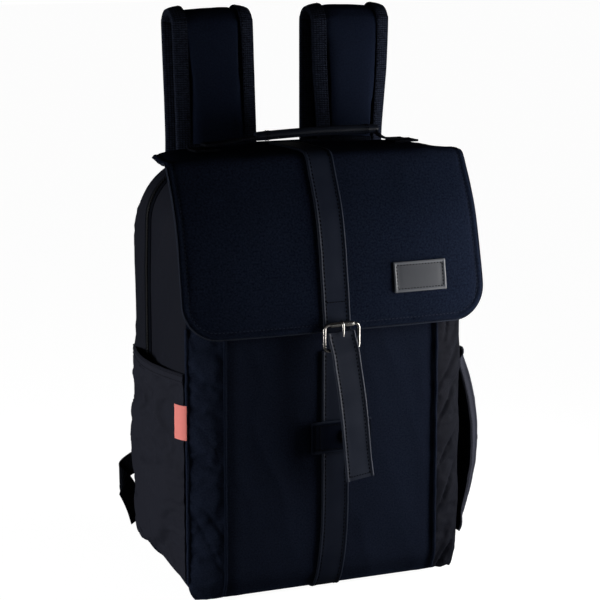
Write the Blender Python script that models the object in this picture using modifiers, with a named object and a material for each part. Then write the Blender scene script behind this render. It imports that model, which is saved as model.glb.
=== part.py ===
"""School backpack with a flap closed by a buckled strap, as an assembly of sewn and metal pieces.

Metres, +Z up. The front faces -Y and the shoulder straps are on the +Y side. The origin is the
middle of the flat base. Most pieces are sheets of cloth: a grid whose points follow a formula of
(across, along), thickened by a Solidify modifier.
"""

import math

import bmesh
import bpy
from mathutils import Vector

# ---------------------------------------------------------------- driving dimensions
BODY_HALF_WIDTH = 0.145
BODY_TOP = 0.412
TOP_CORNER = 0.052            # radius of the arch's two upper corners, seen from the front
SIDE_DEPTH = 0.070            # half the depth of the bag below the taper
FRONT_STRIP = 0.033           # width of each strip between side seam and piping
FRONT_STEP = 0.012            # how far the centre panel stands in front of the side seam
TAPER = ((0.310, 1.00), (0.360, 0.88), (0.412, 0.60))   # height, share of the depth left there
BASE_SIDE_ROUND = 0.020
BASE_REAR_ROUND = 0.045

GAP = 0.0003                  # between pieces that touch
SEAM_ALLOWANCE = 0.0014       # between two panels that meet at an angle
CLOTH = 0.003
LINING = 0.0015
PU = 0.0024                   # coated strap material

FLAP_BOTTOM = 0.262
FLAP_HALF_WIDTH = 0.155
FLAP_REAR_HALF_WIDTH = 0.140
FLAP_CORNER = 0.034
FLAP_CROWN = 0.006
FLAP_PROFILE = ((0.0345, 0.4250), (0.0100, 0.4260), (-0.0200, 0.4264), (-0.0400, 0.4262),
                (-0.0510, 0.4215), (-0.0590, 0.4120), (-0.0700, 0.3900), (-0.0800, 0.3600),
                (-0.0900, 0.3100), (-0.0932, 0.2860), (-0.0944, 0.2760), (-0.0952, 0.2680),
                (-0.0960, FLAP_BOTTOM))
FLAP_RIDGE_ROW = 4            # the profile point where the flap turns down

FRONT_SPLIT = FLAP_BOTTOM + 0.006   # the front's strips meet the upper panel here, under the flap
SIDE_SPLIT = 0.200                  # the side panels meet the zipped gussets here

ZIP_Y = 0.032
MOUTH_HALF_WIDTH = 0.082
MOUTH_DEPTH = 0.046
TEETH_PROUD = 0.0008           # the zip's teeth stand this far above its tapes

STRAP_HALF_WIDTH = 0.034
STRAP_THICKNESS = 0.012
STRAP_TOP = 0.562
STRAP_FRONT_Y = 0.056
STRAP_REAR_Y = 0.085
STRAP_CENTERS = {"left": -0.064, "right": 0.083}
STRAP_FOOT = 0.105

BUCKLE_X = 0.001
BUCKLE_Y = -0.1013
BUCKLE_TOP = 0.2669
BUCKLE_BOTTOM = 0.2421
BUCKLE_HALF_WIDTH = 0.0180
BUCKLE_WIRE = 0.0016

TONGUE_Y = -0.1036
TONGUE_TOP = 0.2552
TONGUE_LENGTH = 0.140
TONGUE_TURN = math.radians(7.5)
TONGUE_HALF_WIDTH = 0.0145

HANDLE_Y = -0.005
HANDLE_AXIS_Z = 0.4325
HANDLE_TOP = 0.4468
HANDLE_FEET = (-0.100, 0.112)
HANDLE_GRIP = (-0.047, 0.084)
HANDLE_FOOT_SIZE = (0.026, 0.022, 0.0016)
HANDLE_FOOT_Z = 0.4282
GRIP_RADIUS = 0.0045
HANDLE_CORD_RADIUS = 0.0025

POCKET_LOW = 0.036
POCKET_HIGH = {"left": (0.219, 0.209), "right": (0.226, 0.226)}    # at the rear and front seams
POCKET_REAR_Y = 0.062
POCKET_FRONT_Y = {"left": -0.0665, "right": -0.056}
POCKET_CLOTH = 0.0016
POCKET_CLEARANCE = 0.0013      # between a pocket and the side panel at its seams
HEM_DEPTH = 0.0090
HEM_THICKNESS = 0.0022
LEFT_POCKET_BELLY = 0.012
RIGHT_POCKET_GAPE = 0.032

SNAP_X, SNAP_Z = 0.0141, 0.1535
SNAP_DEPTH = 0.0018
PATCH_X = 0.0085
LOWER_STRAP_X = 0.0030
LOWER_STRAP_LOW, LOWER_STRAP_HIGH = 0.003, 0.238

WEBBING_HALF_WIDTH = 0.0110
WEBBING_THICKNESS = 0.0016
ADJUSTER_Z = 0.1530

SIDES = {"left": -1.0, "right": 1.0}

# ---------------------------------------------------------------- scene and materials
for leftover in list(bpy.data.objects):
    bpy.data.objects.remove(leftover, do_unlink=True)

PARTS = bpy.data.collections.new("school_backpack")
bpy.context.scene.collection.children.link(PARTS)

FINISHES = {
    "flap_weave": ((0.0055, 0.0075, 0.014), 0.80, 0.0),
    "body_cloth": ((0.0060, 0.0080, 0.014), 0.82, 0.0),
    "side_cloth": ((0.0180, 0.0190, 0.026), 0.85, 0.0),
    "pu_strap": ((0.0130, 0.0155, 0.022), 0.45, 0.0),
    "strap_mesh": ((0.0050, 0.0070, 0.013), 0.90, 0.0),
    "binding": ((0.0035, 0.0045, 0.009), 0.88, 0.0),
    "webbing": ((0.0060, 0.0070, 0.011), 0.80, 0.0),
    "metal": ((0.42, 0.41, 0.40), 0.28, 1.0),
    "hard_plastic": ((0.0060, 0.0060, 0.007), 0.40, 0.0),
    "patch_grey": ((0.0600, 0.0650, 0.072), 0.50, 0.0),
    "label_red": ((0.7200, 0.0600, 0.040), 0.60, 0.0),
    "lining_cloth": ((0.0300, 0.0320, 0.036), 0.90, 0.0),
}


def finish(name, slot):
    """A material of this piece's own, with its slot's colour, roughness and metallic value."""
    color, roughness, metallic = FINISHES[slot]
    material = bpy.data.materials.new(name)
    material.use_nodes = True
    shader = material.node_tree.nodes["Principled BSDF"]
    shader.inputs["Base Color"].default_value = (*color, 1.0)
    shader.inputs["Roughness"].default_value = roughness
    shader.inputs["Metallic"].default_value = metallic
    return material


def add_part(name, mesh, slot, smooth=True):
    """Put a mesh in the parts collection as one named piece."""
    obj = bpy.data.objects.new(name, mesh)
    PARTS.objects.link(obj)
    mesh.materials.clear()
    mesh.materials.append(finish(name, slot))
    if smooth:
        for polygon in mesh.polygons:
            polygon.use_smooth = True
        mesh.set_sharp_from_angle(angle=math.radians(35))
    return obj


# ---------------------------------------------------------------- shape helpers
def lerp(a, b, t):
    return a + (b - a) * t


def spread(low, high, count):
    """count + 1 evenly spaced values from low to high."""
    return [lerp(low, high, i / count) for i in range(count + 1)]


def sheet(name, columns, rows, place, thickness, slot, offset=-1.0):
    """A closed sheet of cloth: grid points at place(column, row), thickened against its normal."""
    bm = bmesh.new()
    bmesh.ops.create_grid(bm, x_segments=len(columns) - 1, y_segments=len(rows) - 1, size=0.5)
    for vert in bm.verts:
        column = columns[round((vert.co.x + 0.5) * (len(columns) - 1))]
        row = rows[round((vert.co.y + 0.5) * (len(rows) - 1))]
        vert.co = place(column, row)
    mesh = bpy.data.meshes.new(name)
    bm.to_mesh(mesh)
    bm.free()
    obj = add_part(name, mesh, slot)
    wall = obj.modifiers.new("thickness", "SOLIDIFY")
    wall.thickness = thickness
    wall.offset = offset
    wall.use_even_offset = True
    return obj


def box(name, center, size, slot, bevel=0.0006, turn=None):
    """A block with softened edges."""
    mesh = bpy.data.meshes.new(name)
    bm = bmesh.new()
    bmesh.ops.create_cube(bm, size=1.0)
    bmesh.ops.scale(bm, vec=size, verts=bm.verts)
    bm.to_mesh(mesh)
    bm.free()
    obj = add_part(name, mesh, slot)
    obj.location = center
    if turn:
        obj.rotation_euler = turn
    edge = obj.modifiers.new("edges", "BEVEL")
    edge.width = bevel
    edge.segments = 1
    return obj


def disc(name, center, radius, depth, slot):
    """A short cylinder that faces forward."""
    mesh = bpy.data.meshes.new(name)
    bm = bmesh.new()
    bmesh.ops.create_cone(bm, cap_ends=True, segments=20, radius1=radius, radius2=radius, depth=depth)
    bm.to_mesh(mesh)
    bm.free()
    obj = add_part(name, mesh, slot)
    obj.location = center
    obj.rotation_euler = (math.radians(90), 0.0, 0.0)
    return obj


def tube(name, points, radius, slot, closed=False):
    """A round bar along a line of points, with filled ends where it is open."""
    curve = bpy.data.curves.new(name, "CURVE")
    curve.dimensions = "3D"
    curve.bevel_depth = radius
    curve.bevel_resolution = 2
    curve.use_fill_caps = not closed
    line = curve.splines.new("POLY")
    line.points.add(len(points) - 1)
    for point, place in zip(line.points, points):
        point.co = (*place, 1.0)
    line.use_cyclic_u = closed
    obj = bpy.data.objects.new(name, curve)
    PARTS.objects.link(obj)
    curve.materials.append(finish(name, slot))
    return obj


def sleeve(name, center, outer, inner, length, slot):
    """A hollow roller whose axis is X."""
    mesh = bpy.data.meshes.new(name)
    bm = bmesh.new()
    bmesh.ops.create_cone(bm, cap_ends=False, segments=16, radius1=outer, radius2=outer, depth=length)
    bm.to_mesh(mesh)
    bm.free()
    obj = add_part(name, mesh, slot)
    obj.location = center
    obj.rotation_euler = (0.0, math.radians(90), 0.0)
    wall = obj.modifiers.new("wall", "SOLIDIFY")
    wall.thickness = outer - inner
    wall.offset = -1.0
    return obj


# ---------------------------------------------------------------- the bag's own surfaces
def depth_share(z):
    """How much of the full depth is left at a height: the bag narrows towards its top."""
    if z <= TAPER[0][0]:
        return TAPER[0][1]
    for (z0, k0), (z1, k1) in zip(TAPER, TAPER[1:]):
        if z <= z1:
            return lerp(k0, k1, (z - z0) / (z1 - z0))
    return TAPER[-1][1]


def half_width(z):
    """Half the bag's width at a height, with round lower and upper corners."""
    if z < BASE_SIDE_ROUND:
        drop = BASE_SIDE_ROUND - z
        return BODY_HALF_WIDTH - BASE_SIDE_ROUND + math.sqrt(BASE_SIDE_ROUND ** 2 - drop ** 2)
    rise = max(0.0, z - (BODY_TOP - TOP_CORNER))
    reach = max(0.0, TOP_CORNER ** 2 - rise ** 2)
    return BODY_HALF_WIDTH - TOP_CORNER + math.sqrt(reach)


def front_y(x):
    """The front face below the taper: flat in the middle, slanting back to the side seams."""
    edge = BODY_HALF_WIDTH - FRONT_STRIP
    share = min(1.0, max(0.0, (abs(x) - edge) / FRONT_STRIP))
    return -SIDE_DEPTH - FRONT_STEP * (1.0 - share)


def arc_heights(count=5):
    """Heights of the points round an upper corner of the arch, from its foot to its top."""
    foot = BODY_TOP - TOP_CORNER
    return [foot + TOP_CORNER * math.sin(math.radians(a)) for a in spread(0, 90, count)]


def arch_path():
    """(x, z) along the arch: up the left side, over the top and down the right side."""
    corner_x = BODY_HALF_WIDTH - TOP_CORNER
    foot = BODY_TOP - TOP_CORNER
    left = [(-BODY_HALF_WIDTH, z) for z in (SIDE_SPLIT + GAP, 0.25, TAPER[0][0])]
    for angle in spread(0, 90, 5):
        reach = math.radians(angle)
        left.append((-corner_x - TOP_CORNER * math.cos(reach), foot + TOP_CORNER * math.sin(reach)))
    top = [(x, BODY_TOP) for x in spread(-corner_x, corner_x, 12)[1:-1]]
    right = [(-x, z) for x, z in reversed(left)]
    return left + top + right


ARCH = arch_path()


def mouth_gap(x):
    """How far the unzipped front half draws back from the rear half at a place across the top."""
    if abs(x) >= MOUTH_HALF_WIDTH:
        return 0.0
    return MOUTH_DEPTH * math.cos(math.pi * x / (2 * MOUTH_HALF_WIDTH)) ** 2


def arch_strip(name, y_low, y_high, thickness, slot, lift=0.0):
    """A strip of the gusset along the arch, from y_low to y_high, each a function of (x, share)."""
    def place(index, share):
        x, z = ARCH[index]
        depth = depth_share(z)
        corner = Vector((math.copysign(BODY_HALF_WIDTH - TOP_CORNER, x), 0, BODY_TOP - TOP_CORNER))
        normal = Vector((x, 0, max(z, corner.z))) - corner
        if z >= BODY_TOP - 1e-6:
            normal = Vector((0, 0, 1))
        return Vector((x, lerp(y_low(x, depth), y_high(x, depth), share), z)) + normal.normalized() * lift
    sheet(name, list(range(len(ARCH))), [0.0, 0.5, 1.0], place, thickness, slot)


def build_gussets():
    """The zipped gusset: two cloth strips, two tapes and two rows of teeth along the arch."""
    def front_edge(x, depth):
        return front_y(x) * depth + 0.0050

    def rear_edge(x, depth):
        return SIDE_DEPTH * depth - 0.0072

    def from_zip(distance, opens):
        return lambda x, depth: ZIP_Y * depth + distance - (mouth_gap(x) if opens else 0.0)
    strips = (
        ("front_gusset", front_edge, from_zip(-0.0080, True), 0.0020, "side_cloth", 0.0),
        ("zipper_tape_front", from_zip(-0.0077, True), from_zip(-0.0026, True), 0.0012, "webbing", 0.0),
        ("zipper_teeth_front", from_zip(-0.0023, True), from_zip(-0.0002, True), 0.0022, "hard_plastic",
         TEETH_PROUD),
        ("zipper_teeth_rear", from_zip(0.0002, False), from_zip(0.0023, False), 0.0022, "hard_plastic",
         TEETH_PROUD),
        ("zipper_tape_rear", from_zip(0.0026, False), from_zip(0.0077, False), 0.0012, "webbing", 0.0),
        ("rear_gusset", from_zip(0.0080, False), rear_edge, 0.0020, "side_cloth", 0.0),
    )
    for name, low, high, thickness, slot, lift in strips:
        arch_strip(name, low, high, thickness, slot, lift)


def build_front():
    """Front strips, centre panel and pipings below the flap's edge, and one panel above it."""
    edge = BODY_HALF_WIDTH - FRONT_STRIP
    low_rows = [GAP, 0.003, 0.008, 0.014, BASE_SIDE_ROUND, 0.10, 0.18, FRONT_SPLIT]
    for side, sign in SIDES.items():
        def strip_point(share, z, sign=sign):
            outer = half_width(z)
            x = lerp(edge + SEAM_ALLOWANCE, outer, share)
            return Vector((sign * x, front_y(x), z))
        offset = -1.0 if sign > 0 else 1.0
        sheet(f"{side}_front_strip", [0.0, 0.5, 1.0], low_rows, strip_point, CLOTH, "body_cloth", offset)
        line = [(sign * edge, -SIDE_DEPTH - FRONT_STEP - 0.0026, z) for z in spread(0.0028, FLAP_BOTTOM, 9)]
        tube(f"{side}_piping", line, 0.0022, "binding")
    sheet("front_center_panel", spread(-edge + GAP, edge - GAP, 6), low_rows,
          lambda x, z: Vector((x, front_y(x), z)), CLOTH, "body_cloth")

    top_rows = [FRONT_SPLIT + GAP, TAPER[0][0]] + arc_heights()

    def upper_point(share, z):
        x = share * half_width(z)
        return Vector((x, front_y(x) * depth_share(z), z))
    shares = [-1.0, -0.885, -0.772, -0.4, 0.0, 0.4, 0.772, 0.885, 1.0]
    sheet("front_upper_panel", shares, top_rows, upper_point, CLOTH, "body_cloth")


def base_path(step):
    """(y, z), the inward normal and the side rounding at a step of the base, front to back."""
    if step <= 3:
        y = lerp(-SIDE_DEPTH + 0.0045, SIDE_DEPTH - BASE_REAR_ROUND, step / 3)
        return y, 0.0, Vector((0, 0, 1)), BASE_SIDE_ROUND
    angle = math.radians((step - 3) * 15)
    y = SIDE_DEPTH - BASE_REAR_ROUND + BASE_REAR_ROUND * math.sin(angle)
    z = BASE_REAR_ROUND * (1 - math.cos(angle))
    normal = Vector((0, -math.sin(angle), math.cos(angle)))
    round_left = lerp(BASE_SIDE_ROUND, 0.0030, (step - 3) / 6)
    return y, z, normal, round_left


def build_base():
    """The bottom panel: flat under the bag, turned up round at both sides and at the back."""
    def place(column, step):
        y, z, normal, radius = base_path(step)
        if abs(column) <= 3:
            x = column / 3 * (BODY_HALF_WIDTH - radius)
            lift = 0.0
        else:
            angle = math.radians((abs(column) - 3) * 30)
            x = math.copysign(BODY_HALF_WIDTH - radius + radius * math.sin(angle), column)
            lift = radius * (1 - math.cos(angle))
        if step == 0:
            y = front_y(x) + 0.0045
        point = Vector((x, y, z)) + normal * lift
        return point
    columns = [-6, -5, -4, -3, -1.5, 0, 1.5, 3, 4, 5, 6]
    sheet("bottom_panel", columns, list(range(10)), place, CLOTH, "body_cloth", offset=1.0)


def build_sides():
    """The plain side panels below the zipped gusset."""
    for side, sign in SIDES.items():
        def place(step, share, sign=sign):
            y, z, normal, radius = base_path(step)
            foot = Vector((0, y, z)) + normal * (radius + SEAM_ALLOWANCE)
            rear = SIDE_DEPTH - 0.0063
            top_y = lerp(-SIDE_DEPTH + 0.0045, rear, step / 9)
            return Vector((sign * BODY_HALF_WIDTH, lerp(min(foot.y, rear), top_y, share),
                           lerp(foot.z, SIDE_SPLIT, share)))
        offset = -1.0 if sign > 0 else 1.0
        sheet(f"{side}_side_panel", list(range(10)), [0.0, 0.5, 1.0], place, 0.0020, "side_cloth", offset)


def build_back():
    """The padded back panel, its two pads, the inner sleeve and the seam along its top."""
    rows = [BASE_REAR_ROUND + 0.0010, 0.12, 0.22, TAPER[0][0]] + arc_heights()

    def place(share, z):
        return Vector((share * half_width(z), SIDE_DEPTH * depth_share(z), z))
    sheet("back_panel", spread(-1.0, 1.0, 4), rows, place, 0.0060, "lining_cloth", offset=1.0)
    for side, sign in SIDES.items():
        box(f"back_pad_{side}", (sign * 0.057, SIDE_DEPTH + 0.0033, 0.185), (0.078, 0.006, 0.225),
            "strap_mesh", bevel=0.0025)
    box("laptop_sleeve", (0.0, 0.0520, 0.150), (0.250, 0.0030, 0.262), "lining_cloth")
    box("flap_seam", (0.0, 0.0414, 0.4203), (0.200, 0.0024, 0.0150), "binding")


def pocket_lift(side, across, along):
    """How far a side pocket stands off the side panel; across 0 is the rear seam, 1 the front."""
    if side == "left":
        belly = math.sin(math.pi * across) * (0.35 + 0.65 * math.sin(math.pi * along / 2))
        return POCKET_CLEARANCE + LEFT_POCKET_BELLY * belly
    swell = math.sin(math.pi * across / 2) ** 1.2 * math.sin(math.pi * along) ** 0.8
    return POCKET_CLEARANCE + RIGHT_POCKET_GAPE * swell


def build_pockets():
    """Two side pockets with bound hems: the left opens upwards, the right gapes towards the front."""
    def wall(side, sign):
        def place(across, along):
            y = lerp(POCKET_REAR_Y, POCKET_FRONT_Y[side], across)
            x = BODY_HALF_WIDTH + POCKET_CLOTH + pocket_lift(side, across, along)
            return Vector((sign * x, y, lerp(POCKET_LOW, lerp(*POCKET_HIGH[side], across), along)))
        return place
    steps = spread(0.0, 1.0, 8)
    sheet("left_pocket", steps, steps, wall("left", -1.0), POCKET_CLOTH, "side_cloth", offset=-1.0)
    sheet("right_pocket", steps, steps, wall("right", 1.0), POCKET_CLOTH, "side_cloth", offset=1.0)

    def left_hem(across, share):
        point = wall("left", -1.0)(across, 1.0)
        return Vector((point.x - GAP, point.y, point.z + GAP + HEM_DEPTH * share))
    sheet("left_pocket_hem", steps, [0.0, 1.0], left_hem, HEM_THICKNESS, "side_cloth", offset=-1.0)

    def right_hem(share, along):
        point = wall("right", 1.0)(1.0, along)
        return Vector((point.x + GAP, point.y - GAP - HEM_DEPTH * share, point.z))
    sheet("right_pocket_hem", [0.0, 1.0], steps, right_hem, HEM_THICKNESS, "side_cloth", offset=1.0)

    def label(reach, share):
        x = BODY_HALF_WIDTH + 0.0040 + 0.0080 * reach
        return Vector((-x, lerp(-0.0670, -0.0530, reach), lerp(0.158, 0.194, share)))
    sheet("side_label", [0.0, 0.5, 1.0], [0.0, 1.0], label, 0.0008, "label_red", offset=1.0)


def profile_offset(index, distance):
    """A point of the flap's profile moved outwards by a distance, mitred at its corners."""
    here = Vector(FLAP_PROFILE[index])
    last = Vector(FLAP_PROFILE[max(0, index - 1)])
    following = Vector(FLAP_PROFILE[min(len(FLAP_PROFILE) - 1, index + 1)])
    normals = []
    for start, end in ((last, here), (here, following)):
        run = end - start
        if run.length > 1e-9:
            run.normalize()
            normals.append(Vector((run.y, -run.x)))
    normal = sum(normals, Vector((0.0, 0.0))).normalized()
    return here + normal * (distance / normal.dot(normals[0]))


def flap_point(index, x, distance):
    """A point on the flap at a profile row, standing off its outer face by a distance."""
    y, z = profile_offset(index, distance)
    weight = min(1.0, index / FLAP_RIDGE_ROW)
    return Vector((x, y + weight * FLAP_CROWN * (x / FLAP_HALF_WIDTH) ** 4, z))


def flap_half_width(index, inset=0.0):
    """Half the flap's width at a profile row: narrower at the hinge, round at its lower corners."""
    z = FLAP_PROFILE[index][1]
    width = lerp(FLAP_REAR_HALF_WIDTH, FLAP_HALF_WIDTH, min(1.0, index / FLAP_RIDGE_ROW)) - inset
    drop = FLAP_BOTTOM + FLAP_CORNER - z
    if drop > 0:
        width += math.sqrt(max(0.0, FLAP_CORNER ** 2 - drop ** 2)) - FLAP_CORNER
    return width


def build_flap():
    """The flap's outer cloth and lining, the strap sewn on it, the name patch and handle feet."""
    rows = list(range(len(FLAP_PROFILE)))
    shares = spread(-1.0, 1.0, 12)

    def cloth(distance, inset):
        return lambda share, row: flap_point(row, share * flap_half_width(row, inset), distance)
    sheet("flap_outer", shares, rows, cloth(0.0, 0.0), 0.0024, "flap_weave", offset=1.0)
    sheet("flap_lining", shares, rows, cloth(-0.0027, 0.002), LINING, "lining_cloth", offset=1.0)
    sheet("upper_strap", [-0.0165, -0.002, 0.0125], rows,
          lambda x, row: flap_point(row, x, GAP + PU), PU, "pu_strap", offset=1.0)

    start, end = Vector(FLAP_PROFILE[8]), Vector(FLAP_PROFILE[9])

    def patch(x, share):
        middle = lerp(Vector(FLAP_PROFILE[7]), start, 0.79)
        foot = lerp(start, end, 0.77)
        base = flap_point(8, x, 0.0)
        line = (foot, start, middle)[share]
        return Vector((x, line.x - GAP - 0.0014 + base.y - start.x, line.y))
    sheet("name_patch", [0.061, 0.0895, 0.118], [0, 1, 2], patch, 0.0012, "patch_grey")
    for side, x in zip(("left", "right"), HANDLE_FEET):
        box(f"handle_foot_{side}", (x, HANDLE_Y, HANDLE_FOOT_Z), HANDLE_FOOT_SIZE, "pu_strap")


def build_handle():
    """The carry handle: a rolled grip between two thin webbing ends, hinged on the flap's feet."""
    left_foot, right_foot = HANDLE_FEET
    left_grip, right_grip = HANDLE_GRIP
    rise = HANDLE_TOP - HANDLE_AXIS_Z - 0.0012

    def webbing(name, foot, grip):
        line = []
        for share in spread(0.0, 1.0, 5):
            z = HANDLE_AXIS_Z + 0.0012 + rise * math.sin(share * math.pi / 2)
            line.append((lerp(foot, grip, share), HANDLE_Y, z))
        tube(name, line, HANDLE_CORD_RADIUS, "webbing")
    webbing("handle_webbing_left", left_foot, left_grip - 0.0010)
    webbing("handle_webbing_right", right_foot, right_grip + 0.0010)
    grip = [(x, HANDLE_Y, HANDLE_TOP) for x in spread(left_grip, right_grip, 6)]
    tube("handle_grip", grip, GRIP_RADIUS, "binding")


def rounded_frame(center, half_width_x, half_height, radius):
    """Points round an upright rectangle with rounded corners."""
    x0, y0, z0 = center
    line = []
    for corner, (sx, sz) in enumerate(((1, 1), (-1, 1), (-1, -1), (1, -1))):
        for angle in spread(0, 90, 3):
            turn = math.radians(angle + corner * 90)
            line.append((x0 + sx * (half_width_x - radius) + radius * math.cos(turn), y0,
                         z0 + sz * (half_height - radius) + radius * math.sin(turn)))
    return line


def build_buckle():
    """The buckle: its frame, the roller on its top bar and the prong."""
    middle = (BUCKLE_TOP + BUCKLE_BOTTOM) / 2
    line = rounded_frame((BUCKLE_X, BUCKLE_Y, middle), BUCKLE_HALF_WIDTH,
                         (BUCKLE_TOP - BUCKLE_BOTTOM) / 2, 0.0045)
    tube("buckle_frame", line, BUCKLE_WIRE, "metal", closed=True)
    sleeve("buckle_roller", (BUCKLE_X, BUCKLE_Y, BUCKLE_TOP), 0.0027, 0.0020, 0.0240, "metal")
    prong = [(BUCKLE_X, BUCKLE_Y - lean, z) for lean, z in ((0.0, 0.2628), (0.0006, 0.2600), (0.0010, 0.2566))]
    tube("buckle_prong", prong, 0.0011, "metal")


def build_closure():
    """The hanging strap end, its snap, the patch it snaps to and the strap below."""
    length = TONGUE_LENGTH
    center = (BUCKLE_X + math.sin(TONGUE_TURN) * length / 2, TONGUE_Y - PU / 2,
              TONGUE_TOP - 0.0019 - math.cos(TONGUE_TURN) * length / 2)
    box("strap_tongue", center, (2 * TONGUE_HALF_WIDTH, PU, length), "pu_strap",
        turn=(0.0, -TONGUE_TURN, 0.0))
    front = -SIDE_DEPTH - FRONT_STEP
    lower_middle = (LOWER_STRAP_LOW + LOWER_STRAP_HIGH) / 2
    box("lower_strap", (LOWER_STRAP_X, front - GAP - PU / 2, lower_middle),
        (2 * TONGUE_HALF_WIDTH, PU, LOWER_STRAP_HIGH - LOWER_STRAP_LOW), "pu_strap")
    patch_y = front - 2 * GAP - PU
    box("snap_patch", (PATCH_X, patch_y - PU / 2, SNAP_Z), (0.0630, PU, 0.0320), "pu_strap")
    disc("snap_socket", (SNAP_X, patch_y - PU - GAP - SNAP_DEPTH / 2, SNAP_Z), 0.0070, SNAP_DEPTH, "metal")
    disc("snap_stud", (SNAP_X, TONGUE_Y + GAP + SNAP_DEPTH / 2, SNAP_Z), 0.0060, SNAP_DEPTH, "metal")


def strap_path(sign):
    """Rows of a shoulder strap's middle line: (x, y, z, facing, share of width)."""
    name = "left" if sign < 0 else "right"
    top_x = STRAP_CENTERS[name]
    radius = (STRAP_REAR_Y - STRAP_FRONT_Y) / 2
    bend_z = STRAP_TOP - STRAP_THICKNESS / 2 - radius
    rows = [(top_x, STRAP_FRONT_Y, z, Vector((0, -1, 0)), 1.0) for z in (0.396, 0.45, 0.50)]
    for angle in spread(0, 180, 8):
        turn = math.radians(angle)
        y = STRAP_FRONT_Y + radius - radius * math.cos(turn)
        z = bend_z + radius * math.sin(turn)
        rows.append((top_x, y, z, Vector((0, -math.cos(turn), math.sin(turn))), 1.0))
    for z, shift, share in ((0.46, 0.0, 1.0), (0.38, 0.06, 1.0), (0.31, 0.30, 1.0), (0.26, 0.58, 0.96),
                            (0.22, 0.80, 0.84), (0.195, 0.93, 0.68), (0.174, 1.0, 0.50)):
        rows.append((lerp(top_x, sign * STRAP_FOOT, shift), STRAP_REAR_Y, z, Vector((0, 1, 0)), share))
    return rows


def build_shoulder_straps():
    """Both padded straps: a loop over the top and down the back, with a binding on each edge."""
    for side, sign in SIDES.items():
        path = strap_path(sign)

        def strap_sheet(name, low, high, thickness, slot, path=path):
            def place(share, row):
                x, y, z, facing, width = path[row]
                return Vector((x + lerp(low, high, share) * width, y, z))
            sheet(name, [0.0, 0.5, 1.0], list(range(len(path))), place, thickness, slot, offset=0.0)
        edge = STRAP_HALF_WIDTH
        strap_sheet(f"shoulder_strap_{side}", -edge, edge, STRAP_THICKNESS, "strap_mesh")
        strap_sheet(f"strap_binding_{side}_1", -edge - 0.0085, -edge - 0.0006, 0.0060, "binding")
        strap_sheet(f"strap_binding_{side}_2", edge + 0.0006, edge + 0.0085, 0.0060, "binding")


def build_lower_webbing():
    """Ladder-lock adjusters under the straps, the webbing to the lower corners and its free tails."""
    for side, sign in SIDES.items():
        x = sign * STRAP_FOOT
        line = rounded_frame((x, STRAP_REAR_Y, ADJUSTER_Z), 0.0165, 0.0130, 0.0040)
        tube(f"strap_adjuster_{side}", line, 0.0022, "hard_plastic", closed=True)

        def webbing_point(across, row, sign=sign):
            stops = ((0.106, 0.132), (0.116, 0.121), (0.134, 0.112), (0.150, 0.103), (0.159, 0.092),
                     (0.159, 0.080), (0.153, 0.066), (0.146, 0.053), (0.141, 0.042))
            reach, z = stops[row]
            return Vector((sign * reach, STRAP_REAR_Y + 0.0010 + across, z))
        edges = [-WEBBING_HALF_WIDTH, WEBBING_HALF_WIDTH]
        sheet(f"lower_webbing_{side}", edges, list(range(9)), webbing_point, WEBBING_THICKNESS,
              "webbing", offset=0.0)
        box(f"webbing_tail_{side}", (x - sign * 0.013, STRAP_REAR_Y + 0.0060, 0.0930),
            (2 * WEBBING_HALF_WIDTH, WEBBING_THICKNESS, 0.080), "webbing")
        box(f"webbing_anchor_{side}", (sign * 0.1290, SIDE_DEPTH + 0.0020, 0.0520),
            (0.0240, 0.0030, 0.0300), "side_cloth")


def build_sliders():
    """The two zip sliders at the ends of the open mouth and their pull tabs."""
    y = ZIP_Y * TAPER[-1][1]
    for side, sign in SIDES.items():
        x = sign * (BODY_HALF_WIDTH - TOP_CORNER)
        box(f"zip_slider_{side}", (x, y, BODY_TOP + 0.0046), (0.0110, 0.0090, 0.0050), "metal", bevel=0.0012)
        box(f"zip_pull_{side}", (x, y - 0.0175, BODY_TOP + 0.0026), (0.0070, 0.0240, 0.0014), "metal")


build_base()
build_sides()
build_front()
build_gussets()
build_back()
build_pockets()
build_flap()
build_handle()
build_buckle()
build_closure()
build_shoulder_straps()
build_lower_webbing()
build_sliders()
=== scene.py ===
"""School backpack: the finished look of every piece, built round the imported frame.

Metres, +Z up, the front of the bag faces -Y. Each sub-assembly is a class with its sizes as
fields; it builds its meshes, dresses them with a finish and hands them to the body they ride on.
"""

import logging
import math
from collections.abc import Callable, Sequence
from dataclasses import dataclass
from enum import Enum

import bmesh
import bpy
from mathutils import Matrix, Vector, noise


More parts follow.
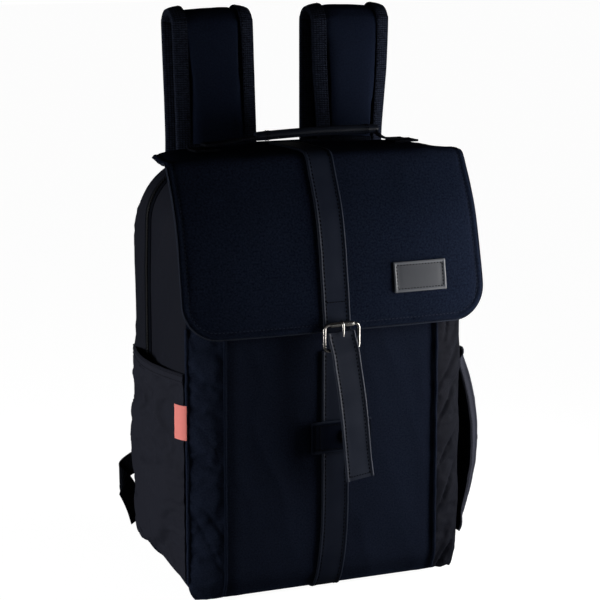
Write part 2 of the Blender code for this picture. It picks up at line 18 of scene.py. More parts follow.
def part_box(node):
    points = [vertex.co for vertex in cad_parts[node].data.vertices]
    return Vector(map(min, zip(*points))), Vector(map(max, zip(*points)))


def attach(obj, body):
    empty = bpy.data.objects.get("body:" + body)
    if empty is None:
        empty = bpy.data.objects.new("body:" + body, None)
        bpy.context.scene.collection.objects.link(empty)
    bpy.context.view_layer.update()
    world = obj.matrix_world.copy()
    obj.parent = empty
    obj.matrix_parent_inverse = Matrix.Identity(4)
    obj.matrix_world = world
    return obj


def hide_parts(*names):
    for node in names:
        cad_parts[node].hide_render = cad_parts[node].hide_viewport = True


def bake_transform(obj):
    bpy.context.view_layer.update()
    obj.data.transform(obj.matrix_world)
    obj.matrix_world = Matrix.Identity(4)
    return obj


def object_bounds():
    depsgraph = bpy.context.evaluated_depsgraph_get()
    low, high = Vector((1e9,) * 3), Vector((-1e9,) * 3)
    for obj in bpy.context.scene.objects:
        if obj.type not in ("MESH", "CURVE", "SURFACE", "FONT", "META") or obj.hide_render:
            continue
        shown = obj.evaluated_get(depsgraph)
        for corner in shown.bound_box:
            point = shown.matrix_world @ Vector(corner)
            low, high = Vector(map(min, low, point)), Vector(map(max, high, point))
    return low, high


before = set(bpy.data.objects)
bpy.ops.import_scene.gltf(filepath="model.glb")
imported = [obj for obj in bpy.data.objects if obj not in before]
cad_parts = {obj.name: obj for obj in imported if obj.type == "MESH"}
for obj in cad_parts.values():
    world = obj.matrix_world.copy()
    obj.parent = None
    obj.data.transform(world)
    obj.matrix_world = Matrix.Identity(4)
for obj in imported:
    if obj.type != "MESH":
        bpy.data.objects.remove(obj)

LOG = logging.getLogger("backpack")
CAD_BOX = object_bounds()

Point = Callable[[float, float], Vector]
Color = tuple[float, float, float]
Spot = tuple[float, float, float]

RIGHT, REARWARD, FORWARD, UPWARD = (Vector(way).freeze() for way in ((1, 0, 0), (0, 1, 0), (0, -1, 0), (0, 0, 1)))
SIDES = (("left", -1.0), ("right", 1.0))


# ---------------------------------------------------------------------------- shader groups
def new_group(name: str, inputs: dict[str, float | tuple], outputs: Sequence[str]) -> bpy.types.NodeTree:
    """Make an empty shader node group with named sockets.

    Args:
        name: The group's name.
        inputs: Socket names with their default values; a tuple makes a vector socket.
        outputs: Names of the value sockets that the group puts out.

    Returns:
        The group, holding its input and output nodes.
    """
    group = bpy.data.node_groups.new(name, "ShaderNodeTree")
    for socket_name, value in inputs.items():
        kind = "NodeSocketVector" if isinstance(value, tuple) else "NodeSocketFloat"
        socket = group.interface.new_socket(name=socket_name, in_out="INPUT", socket_type=kind)
        socket.default_value = value
    for socket_name in outputs:
        group.interface.new_socket(name=socket_name, in_out="OUTPUT", socket_type="NodeSocketFloat")
    group.nodes.new("NodeGroupInput").name = "in"
    group.nodes.new("NodeGroupOutput").name = "out"
    return group


class Wiring:
    """Small helper that adds and links nodes in one tree."""

    def __init__(self, tree: bpy.types.NodeTree) -> None:
        """Keep the tree that the nodes go into."""
        self.tree = tree

    def node(self, kind: str, **settings: object) -> bpy.types.Node:
        """Add a node and set its properties.

        Args:
            kind: The node's type name.
            settings: Properties of the node by name.

        Returns:
            The new node.
        """
        made = self.tree.nodes.new(kind)
        for key, value in settings.items():
            setattr(made, key, value)
        return made

    def feed(self, socket: bpy.types.NodeSocket, source: object) -> None:
        """Link a socket to another one, or give it a constant."""
        if isinstance(source, bpy.types.NodeSocket):
            self.tree.links.new(source, socket)
        else:
            socket.default_value = source

    def math(self, operation: str, *values: object, clamp: bool = False) -> bpy.types.NodeSocket:
        """Add a Math node.

        Args:
            operation: The node's operation.
            values: Sockets or numbers for its inputs, in order.
            clamp: Whether the result is held between 0 and 1.

        Returns:
            The node's output socket.
        """
        made = self.node("ShaderNodeMath", operation=operation, use_clamp=clamp)
        for socket, value in zip(made.inputs, values):
            self.feed(socket, value)
        return made.outputs[0]

    def mix(self, share: object, low: object, high: object) -> bpy.types.NodeSocket:
        """Blend two colours.

        Args:
            share: How much of the second colour there is, from 0 to 1.
            low: The first colour.
            high: The second colour.

        Returns:
            The blended colour.
        """
        made = self.node("ShaderNodeMix", data_type="RGBA")
        self.feed(made.inputs[0], share)
        self.feed(made.inputs[6], low)
        self.feed(made.inputs[7], high)
        return made.outputs[2]

    def noise(self, vector: object, scale: float, detail: float = 2.0) -> bpy.types.NodeSocket:
        """Add a noise texture.

        Args:
            vector: The coordinates that it is read at.
            scale: Its scale.
            detail: How many finer layers it has.

        Returns:
            Its value.
        """
        made = self.node("ShaderNodeTexNoise")
        made.inputs["Scale"].default_value = scale
        made.inputs["Detail"].default_value = detail
        self.feed(made.inputs["Vector"], vector)
        return made.outputs["Fac"]

    def bump(self, shader: bpy.types.Node, height: object, distance: float, strength: float = 1.0) -> None:
        """Give a shader its relief.

        Args:
            shader: The shader node.
            height: The relief's height.
            distance: What a height of 1 stands for, in metres.
            strength: How strongly it shows.
        """
        made = self.node("ShaderNodeBump")
        made.inputs["Distance"].default_value = distance
        made.inputs["Strength"].default_value = strength
        self.feed(made.inputs["Height"], height)
        self.feed(shader.inputs["Normal"], made.outputs[0])


def weave_group() -> bpy.types.NodeTree:
    """Plain weave: threads that pass over and under each other.

    Returns:
        A group that turns cloth coordinates in metres into a thread height and a thread shade; the shade is lighter on
        raised threads and darker where they dip, a painted shade, with uneven slub tone.
    """
    group = new_group("plain_weave", {"Vector": (0.0, 0.0, 0.0), "Thread": 0.001, "Slub": 0.5},
                      ("Height", "Shade"))
    wire = Wiring(group)
    entry, leave = group.nodes["in"], group.nodes["out"]
    split = wire.node("ShaderNodeSeparateXYZ")
    wire.feed(split.inputs[0], entry.outputs["Vector"])
    turns = [wire.math("DIVIDE", split.outputs[i], entry.outputs["Thread"]) for i in (0, 1)]
    waves = [wire.math("SINE", wire.math("MULTIPLY", turn, math.pi)) for turn in turns]
    warp, weft = (wire.math("ABSOLUTE", wave) for wave in waves)
    over = wire.math("MULTIPLY_ADD", wire.math("MULTIPLY", *waves), 2.0, 0.5, clamp=True)
    lift = wire.math("ADD", wire.math("MULTIPLY", warp, over),
                     wire.math("MULTIPLY", weft, wire.math("SUBTRACT", 1.0, over)))
    cells = wire.node("ShaderNodeCombineXYZ")
    for i in (0, 1):
        wire.feed(cells.inputs[i], wire.math("MULTIPLY", turns[i], (1.0, 0.35)[i]))
    slub = wire.noise(cells.outputs[0], 1.6, 3.0)
    uneven = wire.math("MULTIPLY", wire.math("SUBTRACT", slub, 0.5), entry.outputs["Slub"])
    wire.feed(leave.inputs["Height"], wire.math("ADD", lift, uneven))
    # Painted shade: the colour follows the threads' height, darker where they dip; the slub part is uneven tone of the
    # yarn.
    wire.feed(leave.inputs["Shade"], wire.math("ADD", wire.math("MULTIPLY", lift, 0.5),
                                               wire.math("MULTIPLY_ADD", uneven, 1.6, 0.25), clamp=True))
    return group


def rib_group() -> bpy.types.NodeTree:
    """Raised ribs across a tape, with the fine cross threads of webbing between them."""
    group = new_group("ribbed_tape", {"Vector": (0.0, 0.0, 0.0), "Rib": 0.0015}, ("Height", "Shade"))
    wire = Wiring(group)
    entry, leave = group.nodes["in"], group.nodes["out"]
    split = wire.node("ShaderNodeSeparateXYZ")
    wire.feed(split.inputs[0], entry.outputs["Vector"])
    turns = [wire.math("DIVIDE", split.outputs[i], entry.outputs["Rib"]) for i in (0, 1)]
    along = wire.math("ABSOLUTE", wire.math("SINE", wire.math("MULTIPLY", turns[1], math.pi)))
    across = wire.math("ABSOLUTE", wire.math("SINE", wire.math("MULTIPLY", turns[0], math.pi * 0.8)))
    lift = wire.math("MULTIPLY", along, wire.math("MULTIPLY_ADD", across, 0.55, 0.45))
    wire.feed(leave.inputs["Height"], lift)
    # Painted shade: the tape's colour follows the ribs' height, darker in the grooves between them.
    wire.feed(leave.inputs["Shade"], lift)
    return group


def grain_group() -> bpy.types.NodeTree:
    """Fine pebbled grain of a coated strap, with broad soft unevenness.

    Returns:
        A group with the grain's height and a slow mottling value.
    """
    group = new_group("coated_grain", {"Vector": (0.0, 0.0, 0.0), "Scale": 900.0}, ("Height", "Mottle"))
    wire = Wiring(group)
    entry, leave = group.nodes["in"], group.nodes["out"]
    cells = wire.node("ShaderNodeTexVoronoi", feature="SMOOTH_F1")
    wire.feed(cells.inputs["Vector"], entry.outputs["Vector"])
    wire.feed(cells.inputs["Scale"], entry.outputs["Scale"])
    wire.feed(leave.inputs["Height"], cells.outputs["Distance"])
    wire.feed(leave.inputs["Mottle"], wire.noise(entry.outputs["Vector"], 38.0, 4.0))
    return group


def dust_group() -> bpy.types.NodeTree:
    """Lint and handling marks: broad soft patches with fine flecks in them."""
    group = new_group("lint_and_dust", {"Vector": (0.0, 0.0, 0.0), "Patch": 14.0}, ("Mask",))
    wire = Wiring(group)
    entry, leave = group.nodes["in"], group.nodes["out"]
    broad = wire.node("ShaderNodeTexNoise")
    wire.feed(broad.inputs["Vector"], entry.outputs["Vector"])
    wire.feed(broad.inputs["Scale"], entry.outputs["Patch"])
    fine = wire.noise(entry.outputs["Vector"], 420.0, 3.0)
    wire.feed(leave.inputs["Mask"], wire.math("MULTIPLY", broad.outputs["Fac"], fine))
    return group


class Surface(Enum):
    """The shader group that gives a finish its relief."""

    WEAVE = "plain_weave"
    RIB = "ribbed_tape"
    GRAIN = "coated_grain"


GROUPS = {made.name: made for made in (weave_group(), rib_group(), grain_group(), dust_group())}


# ---------------------------------------------------------------------------- finishes
@dataclass(frozen=True)
class Finish:
    """What every finish shares: the slot that names its materials and its two colours."""

    slot: str
    dark: Color
    light: Color
    roughness: float
    specular: float = 0.5

    def shader(self, name: str) -> tuple[bpy.types.Material, Wiring, bpy.types.Node]:
        """Make a material with its Principled shader.

        Args:
            name: The material's name.

        Returns:
            The material, its wiring and the shader node.
        """
        material = bpy.data.materials.new(name)
        material.use_nodes = True
        node = material.node_tree.nodes["Principled BSDF"]
        node.inputs["Roughness"].default_value = self.roughness
        node.inputs["Specular IOR Level"].default_value = self.specular
        return material, Wiring(material.node_tree), node

    def material(self, name: str) -> bpy.types.Material:
        """A material of this finish for one piece."""
        raise NotImplementedError

    def dress(self, obj: bpy.types.Object) -> bpy.types.Object:
        """Put this finish on a piece, in a material named after its slot and the piece."""
        obj.data.materials.clear()
        obj.data.materials.append(self.material(f"{self.slot}_{obj.name}"))
        return obj


@dataclass(frozen=True)
class Cloth(Finish):
    """Woven or ribbed cloth, read from the piece's own cloth coordinates."""

    surface: Surface = Surface.WEAVE
    thread: float = 0.0011
    relief: float = 0.00025
    speckle: float = 0.5

    def material(self, name: str) -> bpy.types.Material:
        """A cloth material: thread relief, a painted shade between the threads, melange tone and lint."""
        material, wire, shader = self.shader(name)
        cloth = wire.node("ShaderNodeUVMap", uv_map="cloth")
        body = wire.node("ShaderNodeTexCoord")
        relief = wire.node("ShaderNodeGroup", node_tree=GROUPS[self.surface.value])
        wire.feed(relief.inputs["Vector"], cloth.outputs[0])
        relief.inputs["Rib" if self.surface is Surface.RIB else "Thread"].default_value = self.thread
        dust = wire.node("ShaderNodeGroup", node_tree=GROUPS["lint_and_dust"])
        wire.feed(dust.inputs["Vector"], body.outputs["Object"])
        melange = wire.noise(cloth.outputs[0], 0.55 / self.thread, 2.0)
        spread = wire.math("MULTIPLY", wire.math("SUBTRACT", melange, 0.5), self.speckle * 2.4)
        # The colour share is the painted shade between threads or ribs plus random melange tone.
        share = wire.math("ADD", relief.outputs["Shade"], spread, clamp=True)
        tone = wire.mix(share, (*self.dark, 1.0), (*self.light, 1.0))
        lint = wire.math("MULTIPLY", dust.outputs["Mask"], 0.1)
        wire.feed(shader.inputs["Base Color"], wire.mix(lint, tone, (0.02, 0.025, 0.04, 1.0)))
        wire.bump(shader, relief.outputs["Height"], self.relief, 0.8)
        return material


@dataclass(frozen=True)
class Coated(Finish):
    """Coated strap material: pebbled grain, paler rims, half-matt coat. The paler rims are partly edge paint and wear,
    partly a painted highlight on the raised edges.
    """

    rim: Color = (0.022, 0.025, 0.034)

    def material(self, name: str) -> bpy.types.Material:
        """A coated material whose rims follow the piece's own rim attribute."""
        material, wire, shader = self.shader(name)
        body = wire.node("ShaderNodeTexCoord")
        grain = wire.node("ShaderNodeGroup", node_tree=GROUPS[Surface.GRAIN.value])
        wire.feed(grain.inputs["Vector"], body.outputs["Object"])
        rim = wire.node("ShaderNodeAttribute", attribute_name="rim")
        tone = wire.mix(grain.outputs["Mottle"], (*self.dark, 1.0), (*self.light, 1.0))
        # Rim share: the paler rim colour is partly edge paint and wear, partly a painted highlight on the raised
        # edges.
        worn_and_lit = wire.math("MULTIPLY", rim.outputs["Fac"], 0.6)
        wire.feed(shader.inputs["Base Color"], wire.mix(worn_and_lit, tone, (*self.rim, 1.0)))
        rough = wire.math("MULTIPLY_ADD", grain.outputs["Mottle"], 0.22, self.roughness - 0.11)
        wire.feed(shader.inputs["Roughness"], rough)
        wire.bump(shader, grain.outputs["Height"], 0.0001, 0.55)
        return material


@dataclass(frozen=True)
class Metal(Finish):
    """Nickel plate: fine brushing and darker tarnish in soft random patches."""

    def material(self, name: str) -> bpy.types.Material:
        """A metal material with brushed roughness and soft tarnish."""
        material, wire, shader = self.shader(name)
        body = wire.node("ShaderNodeTexCoord")
        stretch = wire.node("ShaderNodeMapping")
        stretch.inputs["Scale"].default_value = (60.0, 2600.0, 2600.0)
        wire.feed(stretch.inputs["Vector"], body.outputs["Object"])
        brush = wire.noise(stretch.outputs[0], 1.0, 2.0)
        tarnish = wire.noise(body.outputs["Object"], 240.0, 4.0)
        wire.feed(shader.inputs["Base Color"], wire.mix(tarnish, (*self.dark, 1.0), (*self.light, 1.0)))
        wire.feed(shader.inputs["Roughness"], wire.math("MULTIPLY_ADD", brush, 0.2, self.roughness - 0.08))
        wire.bump(shader, brush, 0.00003)
        shader.inputs["Metallic"].default_value = 1.0
        return material


@dataclass(frozen=True)
class Plastic(Finish):
    """Moulded plastic with a faint spark-eroded texture."""

    def material(self, name: str) -> bpy.types.Material:
        """A plastic material with a fine even texture and slight shade changes."""
        material, wire, shader = self.shader(name)
        body = wire.node("ShaderNodeTexCoord")
        texture = wire.noise(body.outputs["Object"], 3200.0, 2.0)
        shade = wire.noise(body.outputs["Object"], 120.0, 3.0)
        wire.feed(shader.inputs["Base Color"], wire.mix(shade, (*self.dark, 1.0), (*self.light, 1.0)))
        wire.bump(shader, texture, 0.00004)
        return material


@dataclass(frozen=True)
class Wardrobe:
    """All the finishes of this bag."""

    flap_weave: Cloth = Cloth("flap_weave", (0.0003, 0.0012, 0.0058), (0.0088, 0.0134, 0.0275), 0.88, 0.02,
                              thread=0.0011, relief=0.0004, speckle=0.8)
    canvas: Cloth = Cloth("body_cloth", (0.0012, 0.0025, 0.0082), (0.009, 0.0126, 0.0238), 0.88, 0.02,
                          thread=0.0009, relief=0.00035, speckle=0.75)
    side: Cloth = Cloth("side_cloth", (0.0062, 0.007, 0.0112), (0.0125, 0.0134, 0.0196), 0.72, 0.05,
                        thread=0.0006, relief=0.00012, speckle=0.35)
    # Painted light: the side cloth made about half as light again for the pockets and their hems, standing for the
    # light on their bulging walls.
    pocket: Cloth = Cloth("side_cloth", (0.0108, 0.0118, 0.0182), (0.0212, 0.0222, 0.0315), 0.72, 0.06,
                          thread=0.0006, relief=0.00012, speckle=0.35)
    # Painted light: a lighter copy of the body cloth for the left front strip and its side seam, standing for the
    # light from the left that falls on them.
    left_strip: Cloth = Cloth("body_cloth", (0.004, 0.0066, 0.0175), (0.02, 0.027, 0.049), 0.86, 0.03,
                              thread=0.0009, relief=0.0003, speckle=0.6)
    # Painted shade: a much darker copy of the side cloth for the right front strip, standing for the shade it lies in.
    right_strip: Cloth = Cloth("side_cloth", (0.0018, 0.0021, 0.0042), (0.0038, 0.0042, 0.0072), 0.72, 0.04,
                               thread=0.0006, relief=0.00012, speckle=0.35)
    # Partly painted highlight: a lighter copy of the flap cloth for the rolled free edge, standing for a pale line
    # that is partly edge wear and partly light on the roll.
    edge: Cloth = Cloth("flap_weave", (0.005, 0.007, 0.014), (0.024, 0.029, 0.044), 0.8, 0.06,
                        thread=0.0008, relief=0.00015, speckle=0.4)
    blue_thread: Cloth = Cloth("binding", (0.006, 0.0095, 0.022), (0.026, 0.034, 0.056), 0.7, 0.1,
                               thread=0.0004, relief=0.0001, speckle=0.2)
    # Painted light: a lighter, glossier copy of the coated strap, used on the hanging tongue to stand for the light
    # that falls on it.
    worn_and_lit: Coated = Coated("pu_strap", (0.01, 0.013, 0.0225), (0.02, 0.025, 0.04), 0.42, 0.12,
                          rim=(0.034, 0.04, 0.058))
    # Painted shade: a darker copy of the coated strap for the lower strap, standing for the shade it lies in below the
    # buckle and tongue.
    shaded: Coated = Coated("pu_strap", (0.0038, 0.0056, 0.0118), (0.0078, 0.0106, 0.0195), 0.48, 0.05,
                            rim=(0.018, 0.0225, 0.035))
    # Painted shade: a much darker copy of the coated strap for the snap patch, standing for the tongue's shadow on it.
    band: Coated = Coated("pu_strap", (0.0004, 0.0012, 0.0048), (0.0012, 0.0026, 0.0072), 0.55, 0.02,
                          rim=(0.018, 0.0225, 0.035))
    coated: Coated = Coated("pu_strap", (0.0068, 0.0098, 0.0192), (0.0142, 0.0186, 0.032), 0.44, 0.05,
                            rim=(0.02, 0.025, 0.039))
    grip: Coated = Coated("binding", (0.005, 0.0068, 0.0125), (0.012, 0.015, 0.024), 0.36, 0.16)
    tape: Cloth = Cloth("webbing", (0.0006, 0.0008, 0.0018), (0.004, 0.005, 0.0085), 0.85, 0.03,
                        surface=Surface.RIB, thread=0.0014, relief=0.0004, speckle=0.25)
    strap_pad: Cloth = Cloth("strap_mesh", (0.0015, 0.003, 0.0098), (0.008, 0.0118, 0.024), 0.88, 0.02,
                             thread=0.001, relief=0.00035, speckle=0.6)
    air_mesh: Cloth = Cloth("strap_mesh", (0.0008, 0.0011, 0.002), (0.012, 0.014, 0.019), 0.86, 0.04,
                            surface=Surface.RIB, thread=0.0032, relief=0.0009, speckle=0.15)
    binding: Cloth = Cloth("binding", (0.0008, 0.0014, 0.004), (0.0125, 0.016, 0.028), 0.88, 0.05,
                           surface=Surface.RIB, thread=0.0022, relief=0.0008, speckle=0.7)
    webbing: Cloth = Cloth("webbing", (0.001, 0.0013, 0.0026), (0.0085, 0.01, 0.015), 0.8, 0.05,
                           surface=Surface.RIB, thread=0.0017, relief=0.0005, speckle=0.25)
    lining: Cloth = Cloth("lining_cloth", (0.01, 0.0105, 0.0125), (0.02, 0.021, 0.024), 0.8, 0.06,
                          thread=0.0004, relief=0.00005, speckle=0.12)
    label: Cloth = Cloth("label_red", (0.95, 0.23, 0.19), (1.0, 0.33, 0.29), 0.62, 0.1,
                         thread=0.0003, relief=0.00005, speckle=0.1)
    thread: Cloth = Cloth("binding", (0.0002, 0.0003, 0.0008), (0.0012, 0.0017, 0.0034), 0.8, 0.04,
                          thread=0.0004, relief=0.0001, speckle=0.2)
    patch: Coated = Coated("patch_grey", (0.029, 0.032, 0.039), (0.039, 0.043, 0.052), 0.42, 0.25,
                           rim=(0.105, 0.112, 0.128))
    nickel: Metal = Metal("metal", (0.16, 0.15, 0.14), (0.52, 0.5, 0.48), 0.18)
    plastic: Plastic = Plastic("hard_plastic", (0.0022, 0.0024, 0.0034), (0.0055, 0.0058, 0.0072), 0.5, 0.12)


WARDROBE = Wardrobe()


# ---------------------------------------------------------------------------- sewing tools
def box_of(node: str) -> tuple[Vector, Vector]:
    """The lowest and highest corners of a CAD node."""
    low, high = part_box(node)
    return Vector(low), Vector(high)


def lerp(a: float, b: float, share: float) -> float:
    """The value at a share of the way from a to b."""
    return a + (b - a) * share


def spread(low: float, high: float, count: int) -> list[float]:
    """Return count + 1 evenly spaced values from low to high."""
    return [lerp(low, high, i / count) for i in range(count + 1)]


def edge_stops(low: float, high: float, step: float,
               fine: Sequence[float] = (0.0, 0.0009, 0.0022, 0.004, 0.0056, 0.0065, 0.0074, 0.01)) -> list[float]:
    """Places from low to high, close together at both ends where a panel is hemmed.

    Args:
        low: First place.
        high: Last place.
        step: Distance between the places in the middle.
        fine: Distances from each end that get a place of their own.

    Returns:
        The places in order.
    """
    inner = fine[-1]
    middle = spread(low + inner, high - inner, max(2, round((high - low - 2 * inner) / step)))
    return [low + f for f in fine[:-1]] + middle + [high - f for f in reversed(fine[:-1])]


def bell(distance: float, width: float) -> float:
    """A smooth hump of height 1 that fades out over a width."""
    return math.exp(-(distance / width) ** 2)


def ripple(x: float, y: float, seed: float, size: float) -> float:
    """Smooth unevenness between about -1 and 1 with features of a given size in metres."""
    return noise.fractal(Vector((x / size, y / size, seed)), 0.8, 2.0, 3)


def fold(x: float, y: float, seed: float, size: float) -> float:
    """Creased folds between 0 and 1: broad hollows with narrow crests."""
    return (1.0 - abs(noise.noise(Vector((x / size, y / size, seed))))) ** 3


class Line:
    """A smooth line through a few points, walked by its length in metres."""

    def __init__(self, points: Sequence[Sequence[float]], per_span: int = 12) -> None:
        """Round the corners between the points and measure the line.

        Args:
            points: The places that the line goes through.
            per_span: How many short pieces stand for the line between two places.
        """
        marks = [Vector(point) for point in points]
        marks = [2 * marks[0] - marks[1], *marks, 2 * marks[-1] - marks[-2]]
        self.points = [marks[1]]
        for p0, p1, p2, p3 in zip(marks, marks[1:], marks[2:], marks[3:]):
            for step in range(1, per_span + 1):
                t = step / per_span
                self.points.append(0.5 * (2 * p1 + (p2 - p0) * t + (2 * p0 - 5 * p1 + 4 * p2 - p3) * t * t
                                          + (3 * p1 - p0 - 3 * p2 + p3) * t ** 3))
        self.marks = [0.0]
        for a, b in zip(self.points, self.points[1:]):
            self.marks.append(self.marks[-1] + (b - a).length)
        self.length = self.marks[-1]

    def at(self, distance: float) -> Vector:
        """The place at a distance from the start; beyond the ends the line runs straight on."""
        index = 0
        while index < len(self.marks) - 2 and self.marks[index + 1] < distance:
            index += 1
        run = self.marks[index + 1] - self.marks[index]
        return self.points[index].lerp(self.points[index + 1], (distance - self.marks[index]) / run)

    def along(self, distance: float) -> Vector:
        """The line's direction at a distance from its start."""
        reach = min(0.0015, self.length / 4)
        middle = min(max(distance, reach), self.length - reach)
        return (self.at(middle + reach) - self.at(middle - reach)).normalized()


def select_only(obj: bpy.types.Object) -> None:
    """Make one object the only selected and the active one."""
    bpy.ops.object.select_all(action="DESELECT")
    obj.select_set(True)
    bpy.context.view_layer.objects.active = obj


def apply(obj: bpy.types.Object, kind: str, **settings: object) -> None:
    """Add a modifier with its settings and apply it."""
    select_only(obj)
    modifier = obj.modifiers.new(kind.lower(), kind)
    for key, value in settings.items():
        setattr(modifier, key, value)
    bpy.ops.object.modifier_apply(modifier=modifier.name)


def smooth(obj: bpy.types.Object, angle: float = 50.0) -> bpy.types.Object:
    """Shade an object smooth, with edges sharper than an angle kept crisp."""
    select_only(obj)
    bpy.ops.object.shade_smooth_by_angle(angle=math.radians(angle))
    return obj


def started(name: str) -> bpy.types.Object:
    """The primitive that was just added, under its own name."""
    obj = bpy.context.active_object
    obj.name = obj.data.name = name
    return obj


def press(obj: bpy.types.Object, picked: Callable[[bmesh.types.BMFace], bool],
          *steps: tuple[float, float]) -> None:
    """Press some of a piece's faces in or out, in steps.

    Args:
        obj: The piece.
        picked: Which faces are pressed.
        steps: For each step, how far the faces are inset and how far they are then pushed out.
    """
    select_only(obj)
    bpy.ops.object.mode_set(mode="EDIT")
    mesh = bmesh.from_edit_mesh(obj.data)
    for face in mesh.faces:
        face.select_set(picked(face))
    bmesh.update_edit_mesh(obj.data)
    for inset, push in steps:
        bpy.ops.mesh.inset(thickness=inset)
        bpy.ops.mesh.extrude_region_shrink_fatten(TRANSFORM_OT_shrink_fatten={"value": push})
    bpy.ops.object.mode_set(mode="OBJECT")


def place_in_mesh(obj: bpy.types.Object) -> bpy.types.Object:
    """Move an object's place and turn into its mesh, so that it sits at the origin."""
    select_only(obj)
    bpy.ops.object.transform_apply(location=True, rotation=True, scale=True)
    return obj


def lay(name: str, columns: Sequence[float], rows: Sequence[float], place: Point,
        rim: Callable[[float, float], float] | None = None, turned: bool = False) -> bpy.types.Object:
    """Lay a sheet of cloth: a grid whose points are placed by a form of (column, row).

    Args:
        name: The piece's name.
        columns: Values across the sheet.
        rows: Values along the sheet.
        place: Where the point of a column and row lies.
        rim: How much a point belongs to a raised or worn rim, from 0 to 1, kept as the rim attribute; coated finishes
            paint it paler, as edge paint and wear together with a painted highlight.
        turned: Whether the faces are turned to look the other way.

    Returns:
        The sheet, one layer thick, with cloth coordinates in metres.
    """
    bpy.ops.object.select_all(action="DESELECT")
    nx, ny = len(columns) - 1, len(rows) - 1
    bpy.ops.mesh.primitive_grid_add(x_subdivisions=nx, y_subdivisions=ny, size=1.0)
    obj = started(name)
    mesh = obj.data
    cells = [(round((v.co.x + 0.5) * nx), round((v.co.y + 0.5) * ny)) for v in mesh.vertices]
    spots = {cell: place(columns[cell[0]], rows[cell[1]]) for cell in cells}
    for vertex, cell in zip(mesh.vertices, cells):
        vertex.co = spots[cell]
    middle = (nx // 2, ny // 2)
    across, along = [0.0], [0.0]
    for i in range(nx):
        across.append(across[-1] + (spots[(i + 1, middle[1])] - spots[(i, middle[1])]).length)
    for j in range(ny):
        along.append(along[-1] + (spots[(middle[0], j + 1)] - spots[(middle[0], j)]).length)
    layer = mesh.uv_layers[0] if mesh.uv_layers else mesh.uv_layers.new()
    layer.name = "cloth"
    for loop in mesh.loops:
        i, j = cells[loop.vertex_index]
        layer.data[loop.index].uv = (across[i], along[j])
    worn_and_lit = mesh.attributes.new("rim", "FLOAT", "POINT")
    if rim:
        for value, (i, j) in zip(worn_and_lit.data, cells):
            value.value = rim(columns[i], rows[j])
    if turned:
        mesh.flip_normals()
    mesh.update()
    return obj


def emboss(obj: bpy.types.Object, relief: Callable[[Vector], float]) -> None:
    """Move each point of a sheet along its normal by a relief in metres, read at its place."""
    moved = [v.co + v.normal * relief(v.co) for v in obj.data.vertices]
    for vertex, spot in zip(obj.data.vertices, moved):
        vertex.co = spot
    obj.data.update()


def thicken(obj: bpy.types.Object, thickness: float, round_edge: bool = True) -> bpy.types.Object:
    """Give a sheet its thickness, inwards from its outer face, and soften its cut edges."""
    apply(obj, "SOLIDIFY", thickness=thickness, offset=-1.0, use_even_offset=False)
    if round_edge:
        apply(obj, "BEVEL", width=thickness * 0.3, segments=2, limit_method="ANGLE",
              angle_limit=math.radians(60))
    return smooth(obj)


@dataclass(frozen=True)
class Station:
    """One place along a sweep: its middle, its two directions and its scale."""

    center: Vector
    side: Vector
    up: Vector
    scale: float = 1.0


def sweep(name: str, section: Sequence[tuple[float, float]], stations: Sequence[Station],
          rims: Sequence[float] | None = None, ring: bool = False) -> bpy.types.Object:
    """Draw a closed section along stations, as webbing, piping, wire and straps are made.

    Args:
        name: The piece's name.
        section: The outline, as distances along each station's side and up directions.
        stations: The places that the outline passes.
        rims: The rim value of each outline point.
        ring: Whether the last station joins the first.

    Returns:
        A closed shape with cloth coordinates in metres.
    """
    outline = [*section, section[0]]
    walk = [*stations, stations[0]] if ring else list(stations)

    def place(column: float, row: float) -> Vector:
        """The outline's point in one station."""
        station = walk[round(row)]
        a, b = outline[round(column)]
        return station.center + (station.side * a + station.up * b) * station.scale

    def worn_and_lit(column: float, row: float) -> float:
        """The rim value of the outline's point."""
        return rims[round(column) % len(section)]

    obj = lay(name, range(len(outline)), range(len(walk)), place, worn_and_lit if rims else None)
    select_only(obj)
    bpy.ops.object.mode_set(mode="EDIT")
    bpy.ops.mesh.select_all(action="SELECT")
    bpy.ops.mesh.remove_doubles(threshold=1e-6)
    if not ring:
        bpy.ops.mesh.fill_holes(sides=0)
    bpy.ops.mesh.select_all(action="SELECT")
    bpy.ops.mesh.normals_make_consistent(inside=False)
    bpy.ops.object.mode_set(mode="OBJECT")
    return smooth(obj)


def oval(half_a: float, half_b: float, count: int = 16) -> list[tuple[float, float]]:
    """A round or oval outline."""
    return [(half_a * math.cos(2 * math.pi * i / count), half_b * math.sin(2 * math.pi * i / count))
            for i in range(count)]


def band(half: float, thickness: float, rim: float = 0.0, rim_width: float = 0.0026) -> list[tuple[float, float]]:
    """A flat strap's outline with rounded edges; its upper face may have raised rims.

    Args:
        half: Half the strap's width.
        thickness: Its thickness; the outline lies from 0 up to it.
        rim: How far the rims stand above the middle.
        rim_width: Their width.

    Returns:
        The outline, starting at the lower left.
    """
    t = thickness
    top = [(half, t * 0.55), (half - t * 0.18, t * 0.9), (half - t * 0.5, t), (half - rim_width * 0.75, t),
           (half - rim_width, t - rim * 0.8), (half - rim_width * 1.5, t - rim), (half * 0.35, t - rim * 0.85)]
    upper = top + [(0.0, t - rim * 0.8)] + [(-a, b) for a, b in reversed(top)]
    lower = [(-half + t * 0.3, 0.0), (-half * 0.4, 0.0), (half * 0.4, 0.0), (half - t * 0.3, 0.0)]
    return upper + lower


def rim_values(section: Sequence[tuple[float, float]], width: float) -> list[float]:
    """Rim attribute for a strap's outline: 1 at its edges, 0 past a width."""
    half = max(a for a, b in section)
    return [max(0.0, 1.0 - (half - abs(a)) / width) for a, b in section]


